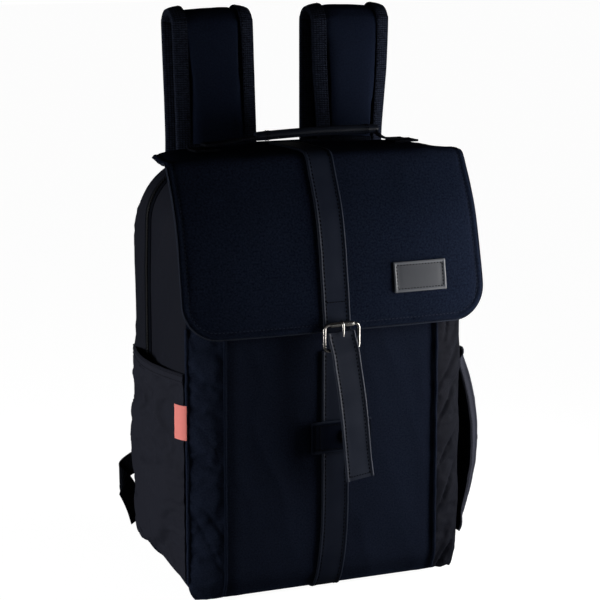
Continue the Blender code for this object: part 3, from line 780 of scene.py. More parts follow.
def repeat(obj: bpy.types.Object, places: Sequence[Matrix]) -> None:
    """Put one shape in many places, as one mesh.

    Args:
        obj: The shape, modelled at the origin; its mesh becomes the whole row.
        places: Where each copy goes, with its turn and size.
    """
    model, row = bmesh.new(), bmesh.new()
    model.from_mesh(obj.data)
    for place in places:
        known = {vert: row.verts.new(place @ vert.co) for vert in model.verts}
        for face in model.faces:
            row.faces.new([known[vert] for vert in face.verts])
    row.normal_update()
    row.to_mesh(obj.data)
    row.free()
    model.free()


def sew(name: str, seam: Sequence[tuple[Vector, Vector]], finish: Finish, body: str, pitch: float = 0.0036,
        length: float = 0.0026, radius: float = 0.00042) -> bpy.types.Object:
    """A row of stitches along a seam.

    Args:
        name: The row's name.
        seam: Places on the surface with the surface's normal there.
        finish: The thread's finish.
        body: The body that it rides on.
        pitch: Distance from stitch to stitch.
        length: Length of one stitch.
        radius: Half the thread's thickness.

    Returns:
        The row, as one piece.
    """
    bpy.ops.object.select_all(action="DESELECT")
    bpy.ops.mesh.primitive_uv_sphere_add(segments=6, ring_count=5, radius=1.0)
    obj = started(name)
    marks = [0.0]
    for (a, _), (b, _) in zip(seam, seam[1:]):
        marks.append(marks[-1] + (b - a).length)
    count = max(1, round(marks[-1] / pitch))
    shape = Matrix.Diagonal((length / 2, radius, radius * 0.8, 1.0))
    places = []
    index = 0
    for step in range(count):
        distance = (step + 0.5) * marks[-1] / count
        while index < len(marks) - 2 and marks[index + 1] < distance:
            index += 1
        (a, normal_a), (b, normal_b) = seam[index], seam[index + 1]
        share = (distance - marks[index]) / max(1e-9, marks[index + 1] - marks[index])
        forward = (b - a).normalized()
        up = normal_a.lerp(normal_b, share)
        up = (up - forward * up.dot(forward)).normalized()
        side = forward.cross(up)
        turn = Matrix((forward, side, up)).transposed().to_4x4()
        places.append(Matrix.Translation(a.lerp(b, share)) @ turn @ shape)
    repeat(obj, places)
    smooth(obj, 80.0)
    finish.dress(obj)
    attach(obj, body)
    LOG.info("%s: %d stitches", name, count)
    return obj


def sew_box(piece: str, box: tuple[float, float, float, float], place: Point, normal: Vector, steps: int,
            stitch: Spot) -> None:
    """Four rows of stitches that box in a piece on the flap.

    Args:
        piece: The piece whose name the rows take.
        box: Left, right, near and far line of the box.
        place: Where a point between those lines lies on the piece.
        normal: The piece's outward direction.
        steps: How many steps one row is walked in.
        stitch: Pitch, length and thickness of the stitches.
    """
    left, right, near, far = box
    corners = [(left, near), (right, near), (right, far), (left, far), (left, near)]
    for number, (a, b) in enumerate(zip(corners, corners[1:]), 1):
        seam = [(place(lerp(a[0], b[0], t), lerp(a[1], b[1], t)), normal) for t in spread(0, 1, steps)]
        sew(f"{piece}_stitches_{number}", seam, WARDROBE.thread, "flap", *stitch)


def settle(obj: bpy.types.Object, pinned: Callable[[Vector], bool] | None, pressure: float, growth: float,
           limit: float, stiffness: float = 12.0, bending: float = 0.2) -> None:
    """Let a piece swell or wrinkle with Blender's Cloth, and keep the result in its mesh.

    Args:
        obj: The piece.
        pinned: Which points its seams hold.
        pressure: Outward pressure.
        growth: Share by which the cloth is longer than the form it is sewn to.
        limit: How far a point may move, in metres.
        stiffness: Resistance to stretch.
        bending: Resistance to bending.
    """
    before = [vertex.co.copy() for vertex in obj.data.vertices]
    modifier = obj.modifiers.new("cloth", "CLOTH")
    cloth = modifier.settings
    cloth.quality = 6
    cloth.mass = 0.2
    cloth.tension_stiffness = cloth.compression_stiffness = stiffness
    cloth.shear_stiffness = stiffness / 2
    cloth.bending_stiffness = bending
    cloth.effector_weights.gravity = 0.0
    cloth.shrink_min = -growth
    cloth.use_pressure = True
    cloth.uniform_pressure_force = pressure
    modifier.collision_settings.use_collision = False
    if pinned:
        held = obj.vertex_groups.new(name="sewn")
        held.add([v.index for v in obj.data.vertices if pinned(v.co)], 1.0, "REPLACE")
        cloth.vertex_group_mass = held.name
    scene = bpy.context.scene
    for frame_number in range(1, 21):
        scene.frame_set(frame_number)
    shaped = obj.evaluated_get(bpy.context.evaluated_depsgraph_get()).to_mesh()
    after = [vertex.co.copy() for vertex in shaped.vertices]
    obj.modifiers.remove(modifier)
    obj.vertex_groups.clear()
    for vertex, old, new in zip(obj.data.vertices, before, after):
        move = new - old
        if move.length > limit:
            move *= limit / move.length
        vertex.co = old + move
    scene.frame_set(1)
    obj.data.update()


def sewn_edges(obj: bpy.types.Object) -> Callable[[Vector], bool]:
    """A test for the points on a sheet's open border, which its seams hold."""
    mesh = bmesh.new()
    mesh.from_mesh(obj.data)
    held = {tuple(round(c, 5) for c in vert.co) for vert in mesh.verts if vert.is_boundary}
    mesh.free()
    return lambda co: tuple(round(c, 5) for c in co) in held


def report(obj: bpy.types.Object, finish: Finish, body: str, *replaced: str) -> bpy.types.Object:
    """Dress a finished piece, put it on its body and hide the CAD nodes it stands for."""
    finish.dress(obj)
    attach(obj, body)
    if replaced:
        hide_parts(*replaced)
    LOG.info("%s: %d faces", obj.name, len(obj.data.polygons))
    return obj


# ---------------------------------------------------------------------------- the bag's form
@dataclass(frozen=True)
class Form:
    """The surfaces that all panels share, so that neighbours meet along one seam line."""

    half: float = 0.145
    top: float = 0.412
    corner: float = 0.052
    depth: float = 0.07
    strip: float = 0.033
    step: float = 0.012
    taper: tuple[tuple[float, float], ...] = ((0.31, 1.0), (0.36, 0.88), (0.412, 0.6))
    base_round: float = 0.02
    foot: float = 0.0035
    foot_corners: tuple[tuple[float, float], tuple[float, float]] = ((0.013, 0.018), (0.018, 0.045))
    rear_round: float = 0.045
    front_split: float = 0.268
    side_split: float = 0.2
    zip_y: float = 0.032
    mouth_half: float = 0.082
    mouth_depth: float = 0.046
    rear_lift: float = 0.013

    def depth_share(self, z: float) -> float:
        """How much of the full depth is left at a height."""
        if z <= self.taper[0][0]:
            return 1.0
        for (z0, k0), (z1, k1) in zip(self.taper, self.taper[1:]):
            if z <= z1:
                return lerp(k0, k1, (z - z0) / (z1 - z0))
        return self.taper[-1][1]

    def half_width(self, z: float, sign: float = 1.0) -> float:
        """Half the bag's width at a height, on its left (-1) or right (1) side."""
        inward, height = self.foot_corners[sign > 0]
        if z < height:
            return self.half - inward * (1.0 - math.sqrt(1.0 - ((height - max(0.0, z)) / height) ** 2))
        rise = max(0.0, z - (self.top - self.corner))
        return self.half - self.corner + math.sqrt(max(0.0, self.corner ** 2 - rise ** 2))

    def front_y(self, x: float) -> float:
        """The front face below the taper."""
        edge = self.half - self.strip
        share = min(1.0, max(0.0, (abs(x) - edge) / self.strip))
        return -self.depth - self.step * (1.0 - share)

    def mouth_gap(self, x: float) -> float:
        """How far the unzipped front half draws back across the top."""
        if abs(x) >= self.mouth_half:
            return 0.0
        return self.mouth_depth * math.cos(math.pi * x / (2 * self.mouth_half)) ** 2

    def arch(self, steps: int = 12) -> list[tuple[float, float]]:
        """Places (x, z) along the arch from the left side over the top to the right side."""
        foot = self.top - self.corner
        inner = self.half - self.corner
        left = [(-self.half, z) for z in spread(self.side_split, foot, 16)[:-1]]
        left += [(-inner - self.corner * math.cos(math.radians(a)), foot + self.corner * math.sin(math.radians(a)))
                 for a in spread(0, 90, steps)]
        top = [(x, self.top) for x in spread(-inner, inner, 36)[1:-1]]
        return left + top + [(-x, z) for x, z in reversed(left)]

    def arch_normal(self, x: float, z: float) -> Vector:
        """The gusset's outward direction at a place on the arch."""
        if z >= self.top - 1e-6:
            return UPWARD
        middle = Vector((math.copysign(self.half - self.corner, x), 0, self.top - self.corner))
        return (Vector((x, 0, max(z, middle.z))) - middle).normalized()

    def base_rise(self, y: float) -> float:
        """How far the soft base draws up towards the back, where the straps carry the bag."""
        share = min(1.0, max(0.0, (y + self.depth) / 0.072))
        return self.foot + self.rear_lift * share * share * (3 - 2 * share)

    def foot_z(self, y: float) -> float:
        """Height of the seam between base and side panel."""
        beyond = max(0.0, y - (self.depth - self.rear_round))
        angle = math.asin(min(1.0, beyond / self.rear_round))
        radius = lerp(self.base_round, 0.003, angle / (math.pi / 2))
        return self.rear_round * (1 - math.cos(angle)) + radius * math.cos(angle) + self.base_rise(y)

    def base_path(self, step: float) -> tuple[Vector, Vector, float]:
        """A place along the base from front (0) to back (9), its inward normal and side rounding."""
        if step <= 3:
            y = lerp(-self.depth + 0.0045, self.depth - self.rear_round, step / 3)
            return Vector((0, y, self.base_rise(y))), UPWARD, self.base_round
        angle = math.radians((step - 3) * 15)
        y = self.depth - self.rear_round + self.rear_round * math.sin(angle)
        place = Vector((0, y, self.rear_round * (1 - math.cos(angle)) + self.base_rise(y)))
        normal = Vector((0, -math.sin(angle), math.cos(angle)))
        return place, normal, lerp(self.base_round, 0.003, (step - 3) / 6)


FORM = Form()


@dataclass
class Front:
    """The front below the flap: the centre panel, the two puckered strips and their pipings."""

    cloth: float = 0.003
    piping: float = 0.0022
    strip_fullness: float = 0.024
    crease: tuple[float, float] = (0.0022, 0.0056)

    def center(self) -> None:
        """The centre panel, drawn in along its seams and slightly full below the patch."""
        edge = FORM.half - FORM.strip
        low, high = FORM.foot, FORM.front_split

        def relief(spot: Vector) -> float:
            """Seams hold the panel back; soft slanting folds run between them."""
            inward = min(edge - abs(spot.x), 0.05)
            seam = -0.0009 * bell(inward, 0.007) + 0.0006 * bell(inward - 0.012, 0.008)
            slack = 0.0012 * fold(spot.x + 0.5 * spot.z, 0.4 * spot.z, 4.1, 0.05) * (1.0 - bell(spot.x, 0.03))
            pucker = 0.0007 * bell(inward, 0.012) * ripple(0.0, spot.z, 3.3, 0.012)
            foot = -0.0065 * bell(spot.z - low, 0.012)
            return seam + (slack - 0.0006) * min(1.0, inward / 0.02) + pucker + foot

        obj = lay("front_center", edge_stops(-edge, edge, 0.003), edge_stops(low, high, 0.0032),
                  lambda x, z: Vector((x, FORM.front_y(x), z)),
                  lambda x, z: bell(edge - abs(x), 0.003) * 0.5)
        emboss(obj, relief)
        report(thicken(obj, 0.0016), WARDROBE.canvas, "bag", "front_center_panel")

    def strip(self, side: str, sign: float) -> None:
        """A strip between piping and side seam, longer than its seams, so that it puckers."""
        edge = FORM.half - FORM.strip
        high = FORM.front_split

        def place(share: float, z: float) -> Vector:
            """The slanting strip, with a soft fold along each seam."""
            outer = FORM.half_width(z, sign)
            x = lerp(edge, outer, share)
            full = math.sin(math.pi * share)
            lean = 0.0035 * full - 0.0065 * bell(z - FORM.foot, 0.012) * (1.0 - share)
            y = FORM.front_y(x) - lean - 0.0016 * full * ripple(sign * share * 0.03, z, 7.0 + sign, 0.024)
            crease = self.crease[sign > 0] * full * fold(share * 0.045 - 0.7 * z, 0.2 * z, 1.7 * sign, 0.026)
            return Vector((sign * (x + 0.0008 * math.sin(z * 90 + sign) * share), y + crease, z))

        shares = [0.0, 0.03, 0.08, 0.14, *spread(0.2, 0.8, 9), 0.86, 0.92, 0.97, 1.0]
        obj = lay(f"{side}_strip", shares, edge_stops(FORM.foot, high, 0.0026), place,
                  lambda share, z: bell(min(share, 1 - share) * FORM.strip, 0.0022) * 0.8, turned=sign < 0)
        settle(obj, sewn_edges(obj), 1.5, self.strip_fullness, 0.006)
        # The left strip's finish is a lighter copy of the body cloth (painted light) and the right strip's a much
        # darker copy of the side cloth (painted shade).
        report(thicken(obj, 0.0014), WARDROBE.left_strip if sign < 0 else WARDROBE.right_strip, "bag",
               f"{side}_front_strip")

    def pipings(self, side: str, sign: float) -> None:
        """The piping sewn between centre panel and strip, slightly uneven."""
        box_low, box_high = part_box(f"{side}_piping")
        stations = []
        for z in spread(max(box_low[2], FORM.foot + 0.002), box_high[2], 110):
            sway = 0.0005 * ripple(0.0, z, 5.0 + sign, 0.02)
            y = box_low[1] + self.piping + 0.0007 + 0.0065 * bell(z - FORM.foot, 0.012)
            stations.append(Station(Vector((sign * (FORM.half - FORM.strip) + sway, y, z)),
                                    RIGHT, FORWARD))
        obj = sweep(f"{side}_edge_piping", oval(self.piping * 0.72, self.piping * 0.8, 10), stations)
        report(obj, WARDROBE.canvas, "bag", f"{side}_piping")

    def side_seam(self, side: str, sign: float) -> None:
        """The turned seam where a front strip meets the side panel, drawn up a little by its stitches."""
        stations = []
        for z in spread(0.02, FORM.front_split, 110):
            pull = 0.0006 * ripple(0.0, z, 11.0 + sign, 0.012)
            x = sign * (FORM.half_width(z, sign) + 0.0004 + pull)
            stations.append(Station(Vector((x, -FORM.depth - 0.0004, z)), RIGHT, FORWARD))
        obj = sweep(f"{side}_side_seam", oval(0.0016, 0.0016, 10), stations)
        # The seam takes the left strip's lighter copy of the body cloth: painted light.
        report(obj, WARDROBE.left_strip, "bag")

    def upper(self) -> None:
        """The front under the flap, up to the arch."""
        rows = [FORM.front_split, *spread(0.285, FORM.top - FORM.corner, 8)]
        rows += [FORM.top - FORM.corner + FORM.corner * math.sin(math.radians(a)) for a in spread(0, 90, 9)[1:]]

        def place(share: float, z: float) -> Vector:
            """The front drawn back with the bag's taper."""
            x = share * FORM.half_width(z)
            return Vector((x, FORM.front_y(x) * FORM.depth_share(z), z))

        obj = lay("front_upper", spread(-1.0, 1.0, 36), rows, place)
        report(thicken(obj, 0.0016), WARDROBE.canvas, "bag", "front_upper_panel")

    def build(self) -> None:
        """Make the whole front."""
        self.center()
        self.upper()
        for side, sign in SIDES:
            self.strip(side, sign)
            self.pipings(side, sign)
        self.side_seam("left", -1.0)


@dataclass
class Base:
    """The bottom panel and the plain side panels that rise from it."""

    fullness: float = 0.012

    def bottom(self) -> None:
        """The bottom: flat under the bag and turned up round at its sides and back."""

        def place(column: float, step: float) -> Vector:
            """The base's form, as wide as the side seams allow."""
            spot, normal, radius = FORM.base_path(step)
            side = FORM.half_width(spot.z + radius, column)
            if abs(column) <= 3:
                x, lift = column / 3 * (side - radius), 0.0
            else:
                angle = math.radians((abs(column) - 3) * 30)
                x = math.copysign(side - radius + radius * math.sin(angle), column)
                lift = radius * (1 - math.cos(angle))
            y = FORM.front_y(x) + 0.006 if step == 0 else spot.y
            return Vector((x, y, spot.z)) + normal * lift

        obj = lay("bottom_cloth", spread(-6, 6, 60), spread(0, 9, 45), place, turned=True)
        report(thicken(obj, 0.0016), WARDROBE.canvas, "bag", "bottom_panel")

    def side(self, side: str, sign: float) -> None:
        """A side panel, full between its seams and creased where the pocket pulls on it."""
        rear = FORM.depth - 0.001

        def place(step: float, share: float) -> Vector:
            """Between the base's seam and the zipped gusset."""
            spot, normal, radius = FORM.base_path(step)
            foot = spot + normal * radius
            y = lerp(min(foot.y, rear), lerp(-FORM.depth + 0.001, rear, step / 9), min(1.0, share * 2.5))
            swell = math.sin(math.pi * step / 9) * math.sin(math.pi * min(1.0, share * 1.1))
            z = lerp(foot.z, FORM.side_split, share)
            return Vector((sign * (FORM.half_width(z, sign) + 0.0035 * max(0.0, swell)), y, z))

        obj = lay(f"{side}_side_cloth", spread(0, 9, 48), spread(0.0, 1.0, 52), place, turned=sign < 0)
        settle(obj, sewn_edges(obj), 1.0, self.fullness, 0.005)
        report(thicken(obj, 0.0014), WARDROBE.side, "bag", f"{side}_side_panel")

    def build(self) -> None:
        """Make the base and both sides."""
        self.bottom()
        self.side("left", -1.0)
        self.side("right", 1.0)


@dataclass
class Zip:
    """The gusset over the arch: its two cloth strips, the tapes and the teeth."""

    pitch: float = 0.003

    def edge_front(self, x: float, share: float) -> float:
        """Where the gusset meets the front panels."""
        return FORM.front_y(x) * share + 0.001

    def edge_rear(self, x: float, share: float) -> float:
        """Where the gusset meets the back panel."""
        return FORM.depth * share - 0.001

    def track(self, distance: float, opens: bool) -> Callable[[float, float], float]:
        """A line beside the zip, which draws back where the mouth is open."""
        return lambda x, share: FORM.zip_y * share + distance - (FORM.mouth_gap(x) if opens else 0.0)

    def strip(self, name: str, low: Callable, high: Callable, lift: float, swell: float, thickness: float,
              finish: Finish, node: str) -> None:
        """One strip along the arch between two lines.

        Args:
            name: The strip's name.
            low: Its line nearer the front, as y of (x, depth share).
            high: Its line nearer the back.
            lift: How far it stands off the arch.
            swell: How far its middle stands proud of its seams.
            thickness: The cloth's thickness.
            finish: Its finish.
            node: The CAD node that it replaces.
        """
        arch = FORM.arch()

        def place(index: float, share: float) -> Vector:
            """The strip's surface at a place on the arch."""
            x, z = arch[round(index)]
            depth = FORM.depth_share(z)
            wave = 0.25 * ripple(index * 0.006, share * 0.03, len(name), 0.03)
            slant = fold(index * 0.004 + share * 0.05, share * 0.02, len(name) + math.copysign(2.0, x), 0.045)
            out = lift + swell * (math.sin(math.pi * share) ** 0.8) * (0.65 + wave + 1.5 * slant)
            y = lerp(low(x, depth), high(x, depth), share)
            return Vector((x, y, z)) + FORM.arch_normal(x, z) * out

        shares = [0.0, 0.06, 0.14, 0.24, 0.36, 0.5, 0.64, 0.76, 0.86, 0.94, 1.0] if swell > 0.0012 else spread(0, 1, 4)
        obj = lay(name, list(range(len(arch))), shares, place,
                  lambda index, share: bell(min(share, 1 - share), 0.05) * 0.4)
        report(thicken(obj, thickness, round_edge=False), finish, "bag", node)

    def teeth(self, name: str, distance: float, opens: bool, offset: float, node: str) -> None:
        """A row of teeth along one side of the zip."""
        line = self.track(distance, opens)
        path = Line([Vector((x, line(x, FORM.depth_share(z)), z)) + FORM.arch_normal(x, z) * 0.0016
                     for x, z in FORM.arch()], 4)
        bpy.ops.object.select_all(action="DESELECT")
        bpy.ops.mesh.primitive_cube_add(size=1.0)
        obj = started(name)
        bpy.ops.object.mode_set(mode="EDIT")
        bpy.ops.mesh.bevel(offset=0.22, segments=1, affect="EDGES")
        bpy.ops.object.mode_set(mode="OBJECT")
        shape = Matrix.Diagonal((self.pitch * 0.55, 0.0034, 0.0022, 1.0))
        places = []
        for count in range(int(path.length / self.pitch)):
            distance_along = (count + offset) * self.pitch
            spot, forward = path.at(distance_along), path.along(distance_along)
            up = FORM.arch_normal(spot.x, min(spot.z - 0.0008, FORM.top))
            side = forward.cross(up).normalized()
            turn = Matrix((forward, side, side.cross(forward))).transposed().to_4x4()
            places.append(Matrix.Translation(spot) @ turn @ shape)
        repeat(obj, places)
        report(smooth(obj, 30.0), WARDROBE.plastic, "bag", node)

    def build(self) -> None:
        """Make the zipped gusset."""
        self.strip("gusset_front", self.edge_front, self.track(-0.0072, True), 0.0, 0.0042, 0.0016,
                   WARDROBE.side, "front_gusset")
        self.strip("gusset_rear", self.track(0.0072, False), self.edge_rear, 0.0, 0.0032, 0.0016,
                   WARDROBE.side, "rear_gusset")
        self.strip("zip_tape_front", self.track(-0.008, True), self.track(-0.001, True), 0.0009, 0.0002, 0.001,
                   WARDROBE.tape, "zipper_tape_front")
        self.strip("zip_tape_rear", self.track(0.001, False), self.track(0.008, False), 0.0009, 0.0002, 0.001,
                   WARDROBE.tape, "zipper_tape_rear")
        self.teeth("zip_teeth_front", -0.0008, True, 0.25, "zipper_teeth_front")
        self.teeth("zip_teeth_rear", 0.0008, False, 0.75, "zipper_teeth_rear")


@dataclass
class Back:
    """The padded back panel, its two air-mesh pads, the inner sleeve and the flap's rear seam."""

    def panel(self) -> None:
        """The back, padded between its seams."""
        rows = spread(FORM.rear_round + FORM.rear_lift, FORM.top - FORM.corner, 40)
        rows += [FORM.top - FORM.corner + FORM.corner * math.sin(math.radians(a)) for a in spread(0, 90, 10)[1:]]

        def place(share: float, z: float) -> Vector:
            """The back face, narrowing towards the top."""
            half = FORM.half_width(z, share)
            x = share * half
            y = FORM.depth * FORM.depth_share(z)
            seam = min(1.0, (half - abs(x)) / 0.02)
            return Vector((x, y - 0.0015 * bell(x, 0.006) - 0.002 * (1 - seam) ** 2, z))

        obj = lay("back_cloth", spread(-1.0, 1.0, 72), rows, place, turned=True)
        report(thicken(obj, 0.005), WARDROBE.side, "bag", "back_panel")

    def pad(self, side: str) -> None:
        """A back pad: foam under air mesh, swollen inside its sewn outline."""
        node = f"back_pad_{side}"
        low, high = box_of(node)
        middle, size = (low + high) / 2, high - low
        bpy.ops.object.select_all(action="DESELECT")
        bpy.ops.mesh.primitive_cube_add(size=1.0, location=middle, scale=size * 0.96)
        obj = started(f"{node}_foam")
        place_in_mesh(obj)
        apply(obj, "BEVEL", width=0.012, segments=4, limit_method="ANGLE", affect="EDGES")
        apply(obj, "REMESH", mode="VOXEL", voxel_size=0.0042)
        settle(obj, None, 3.0, 0.0, 0.006)
        apply(obj, "SUBSURF", levels=1, render_levels=1)
        for vertex in obj.data.vertices:
            if vertex.co.y > middle.y:
                away = min(vertex.co.x - low.x, high.x - vertex.co.x, vertex.co.z - low.z, high.z - vertex.co.z)
                vertex.co.y -= 0.0022 * bell(away - 0.009, 0.0022)
        cloth_map(obj)
        report(smooth(obj, 80.0), WARDROBE.air_mesh, "bag", node)

    def seam(self) -> None:
        """The bound seam along the flap's hinge."""
        low, high = box_of("flap_seam")
        stations = [Station(Vector((x, (low.y + high.y) / 2, low.z)), REARWARD, UPWARD)
                    for x in spread(low.x, high.x, 60)]
        section = [(0.0016, 0.0), (0.0016, 0.01), (0.0012, 0.0146), (0.0, 0.0152), (-0.0012, 0.0146),
                   (-0.0016, 0.01), (-0.0016, 0.0)]
        report(sweep("flap_seam_binding", section, stations), WARDROBE.binding, "bag", "flap_seam")

    def build(self) -> None:
        """Make the back."""
        self.panel()
        self.pad("left")
        self.pad("right")
        self.seam()
        WARDROBE.lining.dress(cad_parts["laptop_sleeve"])


def cloth_map(obj: bpy.types.Object) -> None:
    """Give a remeshed piece cloth coordinates again, laid flat from the direction its faces look in."""
    layer = obj.data.uv_layers.get("cloth") or obj.data.uv_layers.new(name="cloth")
    for polygon in obj.data.polygons:
        flat = (0, 2) if abs(polygon.normal.y) >= abs(polygon.normal.x) * 0.8 else (1, 2)
        if abs(polygon.normal.z) > 0.8:
            flat = (0, 1)
        for index in polygon.loop_indices:
            co = obj.data.vertices[obj.data.loops[index].vertex_index].co
            layer.data[index].uv = (co[flat[0]], co[flat[1]])


@dataclass
class Pockets:
    """The two side pockets, their folded hems and the small label in the left one's seam."""

    hem: float = 0.009
    fullness: float = 0.05
    gape: float = 0.023
    rear_y: float = 0.0685
    front_y: tuple[float, float] = (-0.069, -0.061)
    mouth: tuple[tuple[float, float], tuple[float, float]] = ((0.219, 0.2155), (0.226, 0.226))

    def lift(self, side: str, across: float, along: float) -> float:
        """How far a pocket stands off the side panel; across 0 is the rear seam, 1 the front."""
        if side == "left":
            return 0.0013 + 0.012 * math.sin(math.pi * across) * (0.35 + 0.65 * math.sin(math.pi * along / 2))
        swell = max(0.0, math.sin(math.pi * across / 2)) ** 1.2 * max(0.0, math.sin(math.pi * along)) ** 0.8
        return 0.0013 + self.gape * swell

    def place(self, side: str, sign: float, across: float, along: float, out: float = 0.0) -> Vector:
        """A place on a pocket's outer face."""
        y = lerp(self.rear_y, self.front_y[sign > 0], across)
        foot = FORM.foot_z(y) + 0.0006
        low = foot if side == "left" else lerp(foot, 0.036, across)
        z = lerp(low, lerp(*self.mouth[sign > 0], across), along)
        return Vector((sign * (FORM.half_width(z, sign) + 0.002 + self.lift(side, across, along) + out), y, z))

    def wall(self, side: str, sign: float) -> None:
        """The pocket's cloth, fuller than its seams, so that it creases where it is held."""
        def form(across: float, along: float) -> Vector:
            """The bellied wall with slanting folds from its lower corners."""
            inside = math.sin(math.pi * across) if side == "left" else math.sin(math.pi * min(1.0, across * 0.75))
            folds = 0.0034 * fold(across * 0.12 + along * 0.1, along * 0.05, 3.0 + sign, 0.034)
            seam = 0.0006 * ripple(0.0, along * 0.18, 5.0, 0.01) * bell(1.0 - across, 0.08)
            return self.place(side, sign, across, along, (folds - 0.0016) * inside * min(1.0, 4 * along) + seam)

        obj = lay(f"{side}_pocket_cloth", spread(0.0, 1.0, 60), spread(0.0, 1.0, 76), form, turned=sign > 0)
        settle(obj, sewn_edges(obj), 0.8, self.fullness, 0.006)
        # The pocket finish is a lighter copy of the side cloth: painted light.
        report(thicken(obj, 0.0014), WARDROBE.pocket, "bag", f"{side}_pocket")

    def hems(self, side: str, sign: float) -> None:
        """The folded hem along the pocket's mouth, with its two rows of stitches."""
        stations = []

        def mouth(share: float) -> Vector:
            """The mouth's edge at a share of its length."""
            share = min(1.0, max(0.0, share))
            return self.place(side, sign, *((share, 1.0) if side == "left" else (1.0, share)))

        for share in spread(0.0, 1.0, 60):
            spot, up = mouth(share), UPWARD
            ahead = mouth(share + 0.02) - mouth(share - 0.02)
            if side == "right":
                inward = Vector((-0.6, -0.8, 0)).lerp(Vector((-1.0, -0.12, 0)), share ** 0.8)
                up = inward.lerp(FORWARD, bell(min(share, 1 - share), 0.07)).normalized()
            across = up.cross(ahead.normalized())
            if across.x * sign < 0:
                across = -across
            wave = 0.0006 * ripple(share * 0.13, 0.0, 9.0 + sign, 0.014)
            stations.append(Station(spot + across * wave, up, across.normalized()))
        section = [(self.hem, 0.0002), (self.hem + 0.0006, -0.0006), (self.hem, -0.0016), (0.0, -0.0018),
                   (-0.001, -0.0008), (-0.0006, 0.0006), (0.0006, 0.001), (0.0018, 0.0004), (self.hem * 0.5, 0.0009),
                   (self.hem - 0.0018, 0.0004), (self.hem - 0.0007, 0.0009)]
        obj = sweep(f"{side}_hem_fold", section, stations, rim_values(section, 0.0015))
        # The hem takes the pockets' lighter copy of the side cloth: painted light.
        report(obj, WARDROBE.pocket, "bag", f"{side}_pocket_hem")
        for number, reach in enumerate((0.0018, self.hem - 0.0018)):
            seam = [(s.center + s.side * reach + s.up * 0.0005, s.up) for s in stations]
            sew(f"{side}_hem_stitches_{number + 1}", seam, WARDROBE.thread, "bag", 0.0032, 0.0023, 0.00034)

    def label(self) -> None:
        """The plain woven label folded into the left pocket's front seam."""
        low, high = box_of("side_label")

        def place(share: float, z: float) -> Vector:
            """The label, which springs out of the seam and curls back."""
            x = lerp(high.x + 0.002, low.x + 0.004, share) - 0.001 * math.sin(math.pi * share)
            y = lerp(low.y - 0.0055, high.y - 0.0045, share ** 1.2)
            return Vector((x, y - 0.0008 * math.sin(math.pi * share) + 0.0006 * ripple(0.0, z, 2.0, 0.008) * share, z))

        obj = lay("woven_label", spread(0, 1, 16), spread(low.z + 0.0035, high.z + 0.001, 24), place,
                  lambda share, z: bell(min(z - low.z - 0.0035, high.z + 0.001 - z), 0.002), turned=True)
        report(thicken(obj, 0.0007), WARDROBE.label, "bag", "side_label")

    def build(self) -> None:
        """Make both pockets."""
        for side, sign in SIDES:
            self.wall(side, sign)
            self.hems(side, sign)
        self.label()


